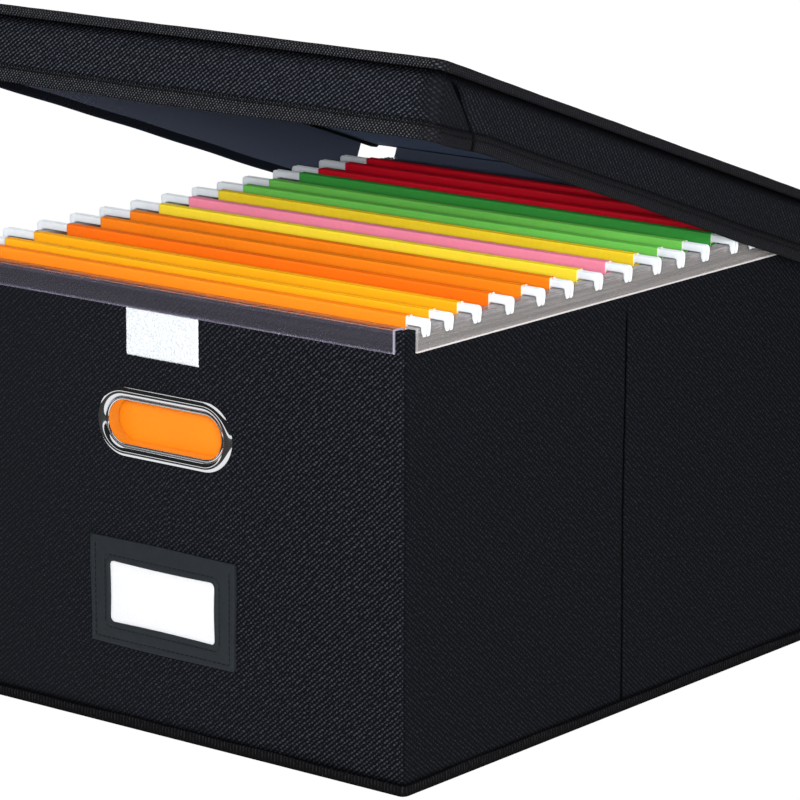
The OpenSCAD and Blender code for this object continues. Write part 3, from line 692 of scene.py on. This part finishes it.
def thread(name, dark, light):
    """Twisted polyester thread: plies slant round it 0.5 mm apart, with a soft gleam."""
    material, tree = blank_material(name)
    place = add(tree, "TexCoord").outputs["Object"]
    ply = add(tree, "TexWave", {"Vector": place, "Scale": 600.0, "Distortion": 1.0},
              bands_direction="DIAGONAL")
    tint = add(tree, "Mix", {0: ply.outputs[1], 6: linear(dark), 7: linear(light)},
               data_type="RGBA")
    skin = add(tree, "BsdfPrincipled", {"Base Color": tint, "Roughness": 0.6,
                                        "Specular IOR Level": 0.1})
    add(tree, "OutputMaterial", {0: skin})
    return material


slate_thread = thread("slate_polyester_thread", "0b0d0f", "1a1d20")
thread_count, seam_in, seam_off = 200, 3.6, 3.15
for name, sewn, seam_w, seam_h, seam_r in (
        ("outer", np.linspace(5.55, 12.45, thread_count) % 9, label_w - 2 * seam_in,
         label_h - 2 * seam_in, 1.5),
        ("window", np.linspace(0, 8.999, thread_count), window_w + 2 * seam_off,
         window_h + 2 * seam_off, 3)):
    seam_pts, _ = rounded_outline(sewn, seam_w, seam_h, seam_r)
    path = np.stack([label_x + seam_pts[:, 0], np.full(thread_count, -box_d / 2 - 2.12),
                     label_z + seam_pts[:, 1]], -1)
    stitches(f"label_{name}_stitching", path, np.broadcast_to([0, -1.0, 0], path.shape),
             slate_thread, "grey_leatherette")

# Uncoated white card: matt, with pulp flecks 1 mm across that hardly show.
card_paper = grained("uncoated_white_card", "dddee1", "e9e9ec", 900.0, 3.0,
                     {"Roughness": 0.7}, bump=(0.1, 0.05))
dress(["label_card"], card_paper)


# ---------------------------------------------------------------- closing patches
# Hook-and-loop: a white brushed loop patch sewn under the front rail, and the hook half on
# the inside of the lid's front skirt. The loops stand about a millimetre high.

patch_w, patch_x, loop_h, hook_h, loop_pitch = 51, -1.5, 26, 24, 0.55


def fuzzy_patch(width, height, mid_z, rough, base, seed):
    """A heightfield over the patch: a base that falls away at the rim, plus seeded random
    loops, rough high and lower at the rim. Each point is moved a little aside as well."""
    rng = np.random.default_rng(seed)
    x = np.linspace(-width / 2, width / 2, int(width / loop_pitch))
    z = np.linspace(-height / 2, height / 2, int(height / loop_pitch))
    gx, gz = np.meshgrid(x, z, indexing="ij")
    pile = rng.random(gx.shape)
    pile = (pile + np.roll(pile, 1, 0) + np.roll(pile, 1, 1)) / 3 + 0.5 * rng.random(gx.shape)
    rim = np.minimum(width / 2 - np.abs(gx), height / 2 - np.abs(gz))
    deep = base * np.clip(rim / 0.6 + 0.1, 0, 1) + rough * pile * np.clip(rim / 1.2, 0, 1)
    gx = gx + 0.35 * (rng.random(gx.shape) - 0.5)
    gz = gz + 0.35 * (rng.random(gx.shape) - 0.5)
    return np.stack([patch_x + gx, -deep, mid_z + gz], -1)


# Knitted nylon loops, bleached white: a matt fuzz with grey gaps 1 mm apart.
white_loops = grained("brushed_nylon_loops", "bac0c6", "e0e4e8", 1100.0, 4.0,
                      {"Roughness": 0.9, "Specular IOR Level": 0.2, "Sheen Weight": 0.25},
                      bump=(0.8, 0.4), level=(0.3, 0.55))
grid = fuzzy_patch(patch_w, loop_h, rail_top - rail_leg - loop_h / 2, 0.55, 0.45, 5)
grid[..., 1] -= box_d / 2
patch = surface("front_loop_pad", grid, [white_loops], "hook_and_loop", wall_mm=0.3, sharp=180)
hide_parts("front_loop_patch")


# ---------------------------------------------------------------- lid
# A flat board wrapped in the same canvas, whose edge is rolled over a soft cord, with skirts
# of doubled cloth sewn in a groove under the roll. It is drawn closed and turned open.

lid_open = math.radians(19.1)
hinge_y, hinge_z = 195.4, 248
lid_half, lid_front, lid_corner_r = 168.4, 195.5, 4
roll_r, roll_out, roll_z, sheet_top, skirt_top, lid_top = 3, 1, 254.4, 257.2, 251.8, 257.4


def opened(points):
    """Turns points drawn on the closed lid about the hinge line to the photographed angle."""
    y, z = points[..., 1] - hinge_y, points[..., 2] - hinge_z
    c, s = math.cos(lid_open), math.sin(lid_open)
    return np.stack([points[..., 0], hinge_y + y * c + z * s, hinge_z - y * s + z * c], -1)


side_run, corner_run = hinge_y + lid_front - lid_corner_r, math.pi * lid_corner_r / 2
lid_marks = np.cumsum([0, side_run, corner_run, 2 * (lid_half - lid_corner_r), corner_run,
                       side_run])


def lid_edge(t):
    """The lid's edge as an open path: up the left side to the front, across, and back along
    the right. A corner centre is carried along and a radius turns about it. Gives the points
    of the skirts' inner face and the outward directions."""
    a, b = lid_half - lid_corner_r, lid_front - lid_corner_r
    cx = np.interp(t, lid_marks, [-a, -a, -a, a, a, a])
    cy = np.interp(t, lid_marks, [hinge_y, -b, -b, -b, -b, hinge_y])
    turn = np.radians(np.interp(t, lid_marks, [180, 180, 270, 270, 360, 360]))
    out = np.stack([np.cos(turn), np.sin(turn)], -1)
    return np.stack([cx, cy], -1) + lid_corner_r * out, out


end_steps = np.array([0, 0.4, 1, 2, 3.2])
lid_t = np.unique(np.round(np.concatenate([
    end_steps, np.linspace(4, lid_marks[1], 64), np.linspace(*lid_marks[1:3], 9),
    np.linspace(*lid_marks[2:4], 60), np.linspace(*lid_marks[3:5], 9),
    np.linspace(lid_marks[4], lid_marks[5] - 4, 64), lid_marks[5] - end_steps]), 4))
round_up = np.radians(np.linspace(-60, 90, 13))
roll_o = np.concatenate([[-0.6, 0.4, 1.4], roll_out + roll_r * np.cos(round_up), [-0.3, -2]])
roll_h = np.concatenate([[skirt_top + 0.1] * 3, roll_z + roll_r * np.sin(round_up),
                         [lid_top - 0.15, sheet_top]])
edge, out_way = lid_edge(lid_t)
from_end = np.minimum(lid_t, lid_marks[5] - lid_t)
shut = np.sqrt(np.clip(1 - (1 - np.clip(from_end / 3.2, 0, 1)) ** 2, 0, 1))[:, None]
soft = 0.22 * np.sin(lid_t / 23 + 1) + 0.16 * np.sin(lid_t / 7.3) + 0.1 * np.sin(lid_t / 3.1)
middle_o, middle_h = -0.5, 254.6
ro = middle_o + (roll_o - middle_o) * shut + soft[:, None] * 0.35 * shut
rh = middle_h + (roll_h - middle_h) * shut + soft[:, None] * 0.25 * (roll_h > 253) * shut
ro[:, -2:], rh[:, -2:] = roll_o[-2:], roll_h[-2:]
roll = np.concatenate([edge[:, None] + out_way[:, None] * ro[..., None], rh[..., None]], -1)
spine_y = np.maximum(edge[:, 1], lid_half - lid_front + 2)
shares = np.linspace(0, 1, 16)[1:, None]
rim_line = roll[:, -1]
spine = np.stack([0 * spine_y, spine_y, 0 * spine_y + sheet_top], -1)
top = rim_line[:, None] + (spine - rim_line)[:, None] * shares
top[..., 2] = sheet_top + 0.35 * np.sin(top[..., 0] / 47 + 1) * np.sin(top[..., 1] / 53) * (
    np.sin(shares[:, 0] * math.pi))
grid = np.concatenate([roll, top], 1)
roll_v = run_of(np.stack([roll_o, roll_h], -1))
places = np.concatenate([flat_places(lid_t, roll_v), top[..., :2] + [0, 1.0]], 1)
# The cover's canvas on the lid, with brighter painted highlights that fade to a flatter ground,
# and its finer weave on the hems and the roll
lid_canvas = woven("woven_polyester_canvas_lid", "0d0f14", "464951", 0.31, 0.36, 0.45,
                   low=-0.05, fleck=0.65, low_glint_ground="131417")
hem_canvas = woven("woven_polyester_hem", "131416", "58595e", 0.48, 0.41, 0.75, depth=0.1,
                   fleck=0.6, low_glint_ground="17171a")
# On the roll of both sides the painted highlights are weaker and on the other diagonal, and the
# roll is of hem cloth
lid_side = np.abs(out_way[:, :1]) * (np.arange(grid.shape[1]) < len(roll_o))
lid_cloth = surface("lid_cover_cloth", opened(grid), [lid_canvas, hem_canvas], "woven_fabric",
                    places, kinds=np.arange(grid.shape[1] - 1) < len(roll_o) - 1, body="lid",
                    weld=True, wall_mm=0.5, nap=1 - 0.7 * lid_side, turned=lid_side)
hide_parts("lid_cover")

hem_h, hem_t, skirt_t, groove_o, skirt_run = 9, 2.6, 1.8, 0.35, 370.3
seam_foot, flare_h, corner_half, front_h, side_h, stitch_row = 26, 36, 3.14, 42.2, 39.4, 9
# The same non-woven polyester as a black tape
black_tape = grained("black_polyester_tape", "08090b", "0e0f12", 900.0, 3.0, felt,
                     bump=(0.25, 0.1))
black_thread = thread("black_polyester_thread", "060607", "19191b")


def seam_run(height):
    """Where the leaning seam behind a front corner lies, along the side, at a height."""
    return 1.5 + seam_foot * np.clip((skirt_top - height) / 27, 0, 1)


def corner_pull(s, height):
    """How a skirt leaves its straight line, s past the front corner: it flares sideways
    towards the hem, and behind the leaning seam it drops back 2 mm and comes out again over
    the next 25 mm, in ripples that die away. Gives the flare, the drop and the distance past
    the seam."""
    down = np.clip((skirt_top - height) / flare_h, 0, 1)
    flare = 4.5 * np.exp(-(s / np.where(s < 0, 16, 45)) ** 2) * down ** 1.3
    gap = s - corner_half - seam_run(height)
    back = np.clip(gap, 0, None)
    drop = np.where(gap < 0, -0.6 * np.exp(-(gap / 7) ** 2),
                    2 * np.exp(-back / 8) - 2.6 * np.exp(-back / 0.35))
    ripple = 0.7 * np.sin(back / 4.6) * np.exp(-back / 26) * np.sin(math.pi * down)
    return flare, (drop + ripple) * np.clip((243.5 - height) / 5, 0, 1) * (s > 0), gap


def skirt(name, node, t, height, materials, sewn, seam=None):
    """Doubled cloth carried along the lid's edge: up the outside from a rounded hem, over the
    sewn top and down the inside. The ends close on themselves. On the right (seam 1) and left
    (seam -1) t holds the distances ahead of and behind the leaning seam, so that a line of
    points follows it."""
    bottom = lid_top - height
    foot = np.radians(np.linspace(-90, 0, 6))
    dip = hem_h - sewn
    o = np.concatenate([hem_t / 2 + hem_t / 2 * np.cos(foot),
                        [hem_t, hem_t, hem_t, hem_t - 0.5, hem_t - 0.05],
                        [2.45, 1.75, 1.62], [skirt_t] * 7, [1.5, 0.9, 0.45, groove_o],
                        [0.02] * 10, [0.0] * 3, hem_t / 2 - hem_t / 2 * np.cos(foot[::-1])[1:-1]])
    h = np.concatenate([bottom + hem_t / 2 + hem_t / 2 * np.sin(foot),
                        bottom + np.array([2.2, dip - 2, dip - 0.6, dip, dip + 0.6]),
                        [bottom + hem_h - 0.25, bottom + hem_h, bottom + hem_h + 0.5],
                        np.linspace(bottom + hem_h + 1.6, skirt_top - 5, 7),
                        skirt_top - np.array([3.9, 3, 1.8, 0]),
                        np.linspace(skirt_top - 0.5, bottom + 5.3, 10),
                        np.linspace(bottom + 5, bottom + 2.4, 3),
                        bottom + hem_t / 2 + hem_t / 2 * np.sin(foot[::-1])[1:-1]])
    # Outside the hem cloth (1) and the canvas (0), inside the lining (2) and the tape (3)
    kinds = np.concatenate([[1] * 13, [0] * 11, [2] * 10, [3] * (len(o) - 34)])
    if seam is None:
        end = np.minimum(t - t[0], t[-1] - t)
        T = t[:, None] + 0 * h
    else:
        ahead, behind = t
        run = seam_run(h)
        S = np.concatenate([ahead[:-1, None] * run, run + behind[:, None] + (1.5 - run) * np.clip(
            (behind[:, None] - 30) / 200, 0, 1)])
        end = np.minimum(S, skirt_run - S).min(1)
        T = lid_marks[4] + S
        if seam < 0:
            T, end = (lid_marks[5] - T)[::-1], end[::-1]
    cap = np.sqrt(np.clip(1 - (1 - np.clip(end / 1.2, 0, 1)) ** 2, 0.0004, 1))[:, None]
    s = np.abs(T - lid_marks[5] / 2) - lid_marks[3:5].mean() + lid_marks[5] / 2
    low = np.clip((skirt_top - h) / (skirt_top - bottom - hem_h), 0, 1)
    ease = np.clip(s / 50, 0, 1)
    hh = h - (seam is not None) * 2.8 * low * (1 - ease * ease * (3 - 2 * ease))
    drop = np.clip((skirt_top - hh) / flare_h, 0, 1)
    hh = hh + (0.28 * np.sin(T / 37 + 2) + 0.16 * np.sin(T / 11)) * drop
    edge, out_way = lid_edge(T)
    flare, dent, gap = corner_pull(s, hh)
    billow = (0.5 * np.sin(T / 29) * np.sin(math.pi * drop) + 0.3) * np.clip(drop * 4, 0, 1)
    oo = skirt_t / 2 + (o - skirt_t / 2) * cap + billow - dent
    flat = edge + out_way * oo[..., None]
    flat[..., 0] += flare * np.sign(T - lid_marks[5] / 2)
    row = np.arange(len(o))
    outside = (row > 2) & (row < 25)
    # Painted shade on the outside: under the roll, along the hem's fold and stitch line, and
    # along the leaning seam behind each front corner of the side skirts
    painted_shade_under_roll = 0.97 * np.exp(-((skirt_top - hh) / 3.8) ** 2)
    painted_hem_line_shade = 0.75 * np.exp(-((h - bottom - hem_h - 0.3) / 0.7) ** 2) + 0.6 * np.exp(
        -((h - bottom - dip) / 0.5) ** 2)
    painted_corner_fold_shade = 0.97 * np.exp(-(gap / np.where(gap < 0, 1, 5.2)) ** 4) * np.clip(drop * 7, 0, 1)
    dark = np.maximum(np.maximum(painted_shade_under_roll, painted_hem_line_shade), painted_corner_fold_shade * (seam is not None)) * outside
    grid = opened(np.concatenate([flat, hh[..., None]], -1))
    girth = run_of(np.stack([o, h], -1))
    places = np.stack(np.broadcast_arrays(np.concatenate([T, T[:, :1]], 1),
                                          np.append(girth, girth[-1] + 0.5)), -1)
    pick = np.broadcast_to(kinds, (len(T) - 1, len(o))).copy()
    if seam is not None:
        rear = np.minimum(T[1:, :1], lid_marks[5] - T[1:, :1]) < lid_marks[1] - skirt_run + 7
        pick = np.where(rear & (pick == 2), 3, pick)
    # Painted highlight: weaker on the side skirts, most of all ahead of the leaning seam, and on
    # the other diagonal there
    side = 1 / (1 + np.exp(-(s + 6) / 2.5))
    nap = 1 - side * np.where(gap < 0, 0.85, 0.7)
    piece = surface(name, grid, materials, "woven_fabric", places, (False, True), kinds=pick,
                    body="lid", weld=True, nap=nap, crease=dark, turned=side)
    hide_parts(node)
    flat_way = out_way[4:-4, stitch_row]
    way = opened(np.concatenate([flat_way, 0 * flat_way[:, :1]], -1)) - opened(np.zeros(3))
    stitches(name.replace("skirt_cloth", "hem_stitching"), grid[4:-4, stitch_row] + 0.25 * way,
             way, black_thread, "woven_fabric", length=2.2, pitch=3.4, radius=0.3, body="lid")


skirt_cloths = [lid_canvas, hem_canvas, navy_lining, black_tape]
close_up = np.array([0, 0.1, 0.3, 0.7, 1.2])
front_t = np.unique(np.round(np.concatenate([
    lid_marks[1] + 0.05 + close_up, np.linspace(lid_marks[1] + 1.3, lid_marks[2], 8),
    np.linspace(*lid_marks[2:4], 170), np.linspace(lid_marks[3], lid_marks[4] - 1.3, 8),
    lid_marks[4] - 0.05 - close_up]), 4))
skirt("lid_front_skirt_cloth", "lid_front_skirt", front_t, front_h, skirt_cloths, 1.5)
seam_ahead = np.unique(np.concatenate([close_up / 34, np.linspace(0.05, 1, 22)]))
seam_behind = np.unique(np.concatenate([
    [0, 0.15, 0.35, 0.6, 0.9, 1.3, 1.8, 2.5, 3.3], np.linspace(4.3, 60, 50),
    np.linspace(60, 361, 55), skirt_run - 1.5 - close_up]))
side_t = (seam_ahead, seam_behind)
skirt("lid_right_skirt_cloth", "lid_right_skirt", side_t, side_h, skirt_cloths, 2.9, seam=1)
skirt("lid_left_skirt_cloth", "lid_left_skirt", side_t, side_h, skirt_cloths, 2.9, seam=-1)

lining_z, lining_half, lining_front = 253.6, lid_half - 0.2, lid_front - 0.2
gx = np.linspace(-lining_half, lining_half, 60)
gy = np.linspace(hinge_y - 0.8, -lining_front, 60)
X, Y = np.meshgrid(gx, gy, indexing="ij")
tuft = np.minimum(lining_half - np.abs(X), np.minimum(Y + lining_front, hinge_y - Y))
Z = lining_z + 0.4 - 0.35 * np.exp(-tuft / 2.5) + 0 * X
inside_lining = surface("lid_lining_cloth", opened(np.stack([X, Y, Z], -1)), [navy_lining],
                        "lining_fabric", np.stack([X, Y], -1), body="lid", wall_mm=0.4)
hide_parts("lid_lining")

hook_z = 229
grid = fuzzy_patch(patch_w, hook_h, hook_z, 0.35, 0.5, 9)
grid[..., 1] = -lid_front - grid[..., 1]
pad = surface("lid_hook_pad", opened(grid)[:, ::-1], [white_loops], "hook_and_loop",
              body="lid", wall_mm=0.3, sharp=180)
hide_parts("lid_hook_patch")


# ---------------------------------------------------------------- cloth hinge
# One strip of the canvas, sewn flat on the back wall, stepped over the back rail, folded on
# the hinge line and taken up over the lid's rear edge.

strip_half = 154
wall_part = np.array([[193.9, 216], [193.9, 220], [193.9, 226], [193.9, 232.2], [195.1, 234.9],
                      [195.15, 239], [195.15, 243], [195.2, 245.5], [195.35, 246.8],
                      [195.5, 247.6]])
lid_part = np.array([[195.6, 248.3], [195.75, 249], [195.9, 250], [195.95, 252], [195.95, 254],
                     [195.9, 255.6], [195.5, 256.9], [194.4, 257.6], [191, 257.65],
                     [187, 257.6]])
x = np.concatenate([-strip_half + np.array([0, 0.6]), np.linspace(-152, 152, 70),
                    strip_half - np.array([0.6, 0])])
line = np.concatenate([np.concatenate([np.zeros((10, 1)), wall_part], 1),
                       opened(np.concatenate([np.zeros((10, 1)), lid_part], 1))])
strip_v = run_of(line)
grid = np.broadcast_to(line, (len(x), *line.shape)).copy()
grid[..., 0] = x[:, None]
grid[:, 1:4, 1] += 0.25 * np.abs(np.sin(x / 19))[:, None]
grid[:, 10:, 1] += 0.12 * np.sin(x / 11)[:, None]
strip = surface("hinge_cloth", grid[::-1], [wall_canvas, navy_lining], "woven_fabric",
                flat_places(x[::-1], strip_v), body=None, wall_mm=0.4, back=1)
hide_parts("hinge_strip")
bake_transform(strip)
seam_half, seam_y, seam_z = 151, 194.35, 218.5
path = np.linspace((-seam_half, seam_y, seam_z), (seam_half, seam_y, seam_z), 60)
stitches("hinge_stitching", path, np.broadcast_to([0, 1.0, 0], path.shape), black_thread,
         "woven_fabric")


# ---------------------------------------------------------------- hanging folders
# Fifteen folders of dyed card: one sheet folded in a U, its two upper edges glued round
# flat steel rods coated in white, whose ends hook down outside the side rails.

folder_places = [-180, -161, -137.5, -109.5, -82.5, -57.5, -31, -4, 23, 45.5, 69, 97, 115,
                 140.5, 161]
dyes = {"orange": "ff8818", "amber": "ffb018", "deep_orange": "ff7412", "yellow": "ffe43a",
        "pink": "f88da9", "ochre": "f3d42c", "green": "72ca56", "dark_green": "3da243",
        "red": "dc1328"}
folder_dyes = ["orange", "amber", "amber", "deep_orange", "orange", "orange", "yellow", "pink",
               "ochre", "green", "green", "dark_green", "red", "red", "red"]
card_w, card_t, card_top, panel_out = 298.5, 0.5, 253.1, 2.8
card_shift = [6, 6, 6, 5, 6, 6, 4.5, 3.7, 3, 3, 3, 3, 3, 3, 3]


def card_stock(name, colour):
    """Dyed manila card, calendered: long pulp fibres 2 mm across, an eggshell sheen."""
    material, tree = blank_material(name)
    place = add(tree, "TexCoord").outputs["Object"]
    fibre = add(tree, "TexNoise", {"Vector": place, "Scale": 420.0, "Detail": 5.0})
    cloud = add(tree, "TexNoise", {"Vector": place, "Scale": 24.0, "Detail": 2.0})
    shade = add(tree, "Math", {0: fibre, 1: cloud}, operation="ADD")
    level = add(tree, "MapRange", {0: shade, 1: 0.6, 2: 1.4, 3: 0.92, 4: 1.05})
    tint = add(tree, "VectorMath", {0: linear(colour)[:3], 3: level}, operation="SCALE")
    relief = add(tree, "Bump", {"Height": fibre, "Strength": 0.15, "Distance": 0.05 * MM})
    skin = add(tree, "BsdfPrincipled", {"Base Color": tint, "Roughness": 0.45,
                                        "Specular IOR Level": 0.35, "Normal": relief})
    add(tree, "OutputMaterial", {0: skin})
    return material


stocks = {name: card_stock("dyed_card_" + name, dye) for name, dye in dyes.items()}
card_core = card_stock("card_cut_edge", "f0ece2")
# Half the sheet's middle line, from the glued end round the rod and down to the bottom fold.
sleeve_in, sleeve_out, fold_r = panel_out - 2.35, panel_out - 0.25, 0.6
quarter = np.radians(np.linspace(0, 90, 5))
sleeve_low, fold_z = card_top - 5.15, card_top - 0.25
half_line = np.concatenate([
    [[sleeve_out - 0.35, sleeve_low], [sleeve_in + 0.5, sleeve_low]],
    [[sleeve_in, sleeve_low + 0.6], [sleeve_in, fold_z - fold_r]],
    np.stack([sleeve_in + fold_r - fold_r * np.cos(quarter)[1:],
              fold_z - fold_r + fold_r * np.sin(quarter)[1:]], -1),
    np.stack([sleeve_out - fold_r + fold_r * np.sin(quarter),
              fold_z - fold_r + fold_r * np.cos(quarter)], -1),
    np.stack([np.full(14, sleeve_out), np.linspace(fold_z - 2, 19, 14)], -1),
    np.stack([sleeve_out * np.cos(quarter), 17.9 - sleeve_out * np.sin(quarter)], -1)])
card_line = np.concatenate([half_line, (half_line * [-1, 1])[::-1][1:]])

hook_out, hook_w, rod_z, rod_h, rod_t, rod_gap = 167.8, 3.4, 248.3, 4.2, 1.4, 3
tip_r = 1.1
tip_x, tip_z = hook_out - 0.5 - tip_r, rod_z - 5 + tip_r
shoulder = np.radians(np.linspace(90, 0, 9))


def rod_edge(edge_x, edge_z, bend_r, leg, way):
    """One edge of a rod, from end to end: straight, round a quarter turn of radius bend_r at
    edge_x, down the points of leg to the tip, whose outer (way 1) or inner (way -1) quarter
    is drawn from its foot up, and the same mirrored at the other end."""
    quarter = [tip_x + way * tip_r * np.cos(shoulder), tip_z - tip_r * np.cos(shoulder[::-1])]
    half = np.concatenate([
        [[x, edge_z] for x in (0, 80, 150, 160)],
        np.stack([edge_x - bend_r + bend_r * np.cos(shoulder),
                  edge_z - bend_r + bend_r * np.sin(shoulder)], -1),
        leg, [[tip_x + way * tip_r, tip_z]], np.stack(quarter, -1)[1::2]])
    return np.concatenate([(half * [-1, 1])[::-1][:-1], half])


hook_in = hook_out - hook_w
rail_out = rod_edge(hook_out, rod_z + rod_h, 2.1, [
    [hook_out, rod_z + 1], [hook_out, rod_z], [tip_x + tip_r + 0.2, tip_z + 1]], 1)
rail_in = rod_edge(hook_in, rod_z, 1, [
    [hook_in, rod_z - 1.2], [hook_in, rod_z - 1.6], [hook_in + 0.1, tip_z + 0.9]], -1)
# Steel strip dipped in white vinyl: smooth and evenly glossy, a little cloudy every 7 mm.
rod_coat = grained("white_vinyl_coated_steel", "dbe2e9", "ecf1f5", 150.0, 2.0,
                   {"Specular IOR Level": 0.5}, gloss=(0.24, 0.36))

stations = np.concatenate([[0, 0.0015], np.linspace(0.04, 0.96, 24), [0.9985, 1]])
turns = np.linspace(0, 2 * math.pi, 17)[:-1]
blade_c = np.sign(np.cos(turns)) * np.abs(np.cos(turns)) ** 0.4
blade_s = np.sign(np.sin(turns)) * np.abs(np.sin(turns)) ** 0.7
centre, half = (rail_out + rail_in) / 2, (rail_out - rail_in) / 2
blade = centre[:, None] + half[:, None] * blade_c[None, :, None]
# Each card bows a little below the rails, more towards its foot
below = np.clip((rail_top - card_line[:, 1]) / 230, 0, 1)
for i, (place, dye) in enumerate(zip(folder_places, folder_dyes)):
    number = f"{i + 1:02d}"
    across = card_shift[i] - card_w / 2 + stations * card_w
    bow = 0.7 * np.sin(across / 60 + i * 1.7)[:, None] * below
    grid = np.stack(np.broadcast_arrays(across[:, None], place + card_line[:, 0] + bow,
                                        card_line[:, 1]), -1)
    card = surface(f"folder_{number}_sheet", grid, [stocks[dye], card_core], "card_" + dye,
                   body=f"folder_{number}", sharp=50, wall_mm=card_t, offset=0, rim=1)
    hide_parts(f"folder_{number}_card")
    rods = surface(f"folder_{number}_hangers", np.stack([np.stack(np.broadcast_arrays(
        blade[..., 0], place + side * rod_gap / 2 + rod_t / 2 * blade_s, blade[..., 1]), -1)
        for side in (-1, 1)]), [rod_coat], "coated_rod", None, (False, True),
        body=f"folder_{number}", weld=True)
    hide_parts(f"folder_{number}_rods")
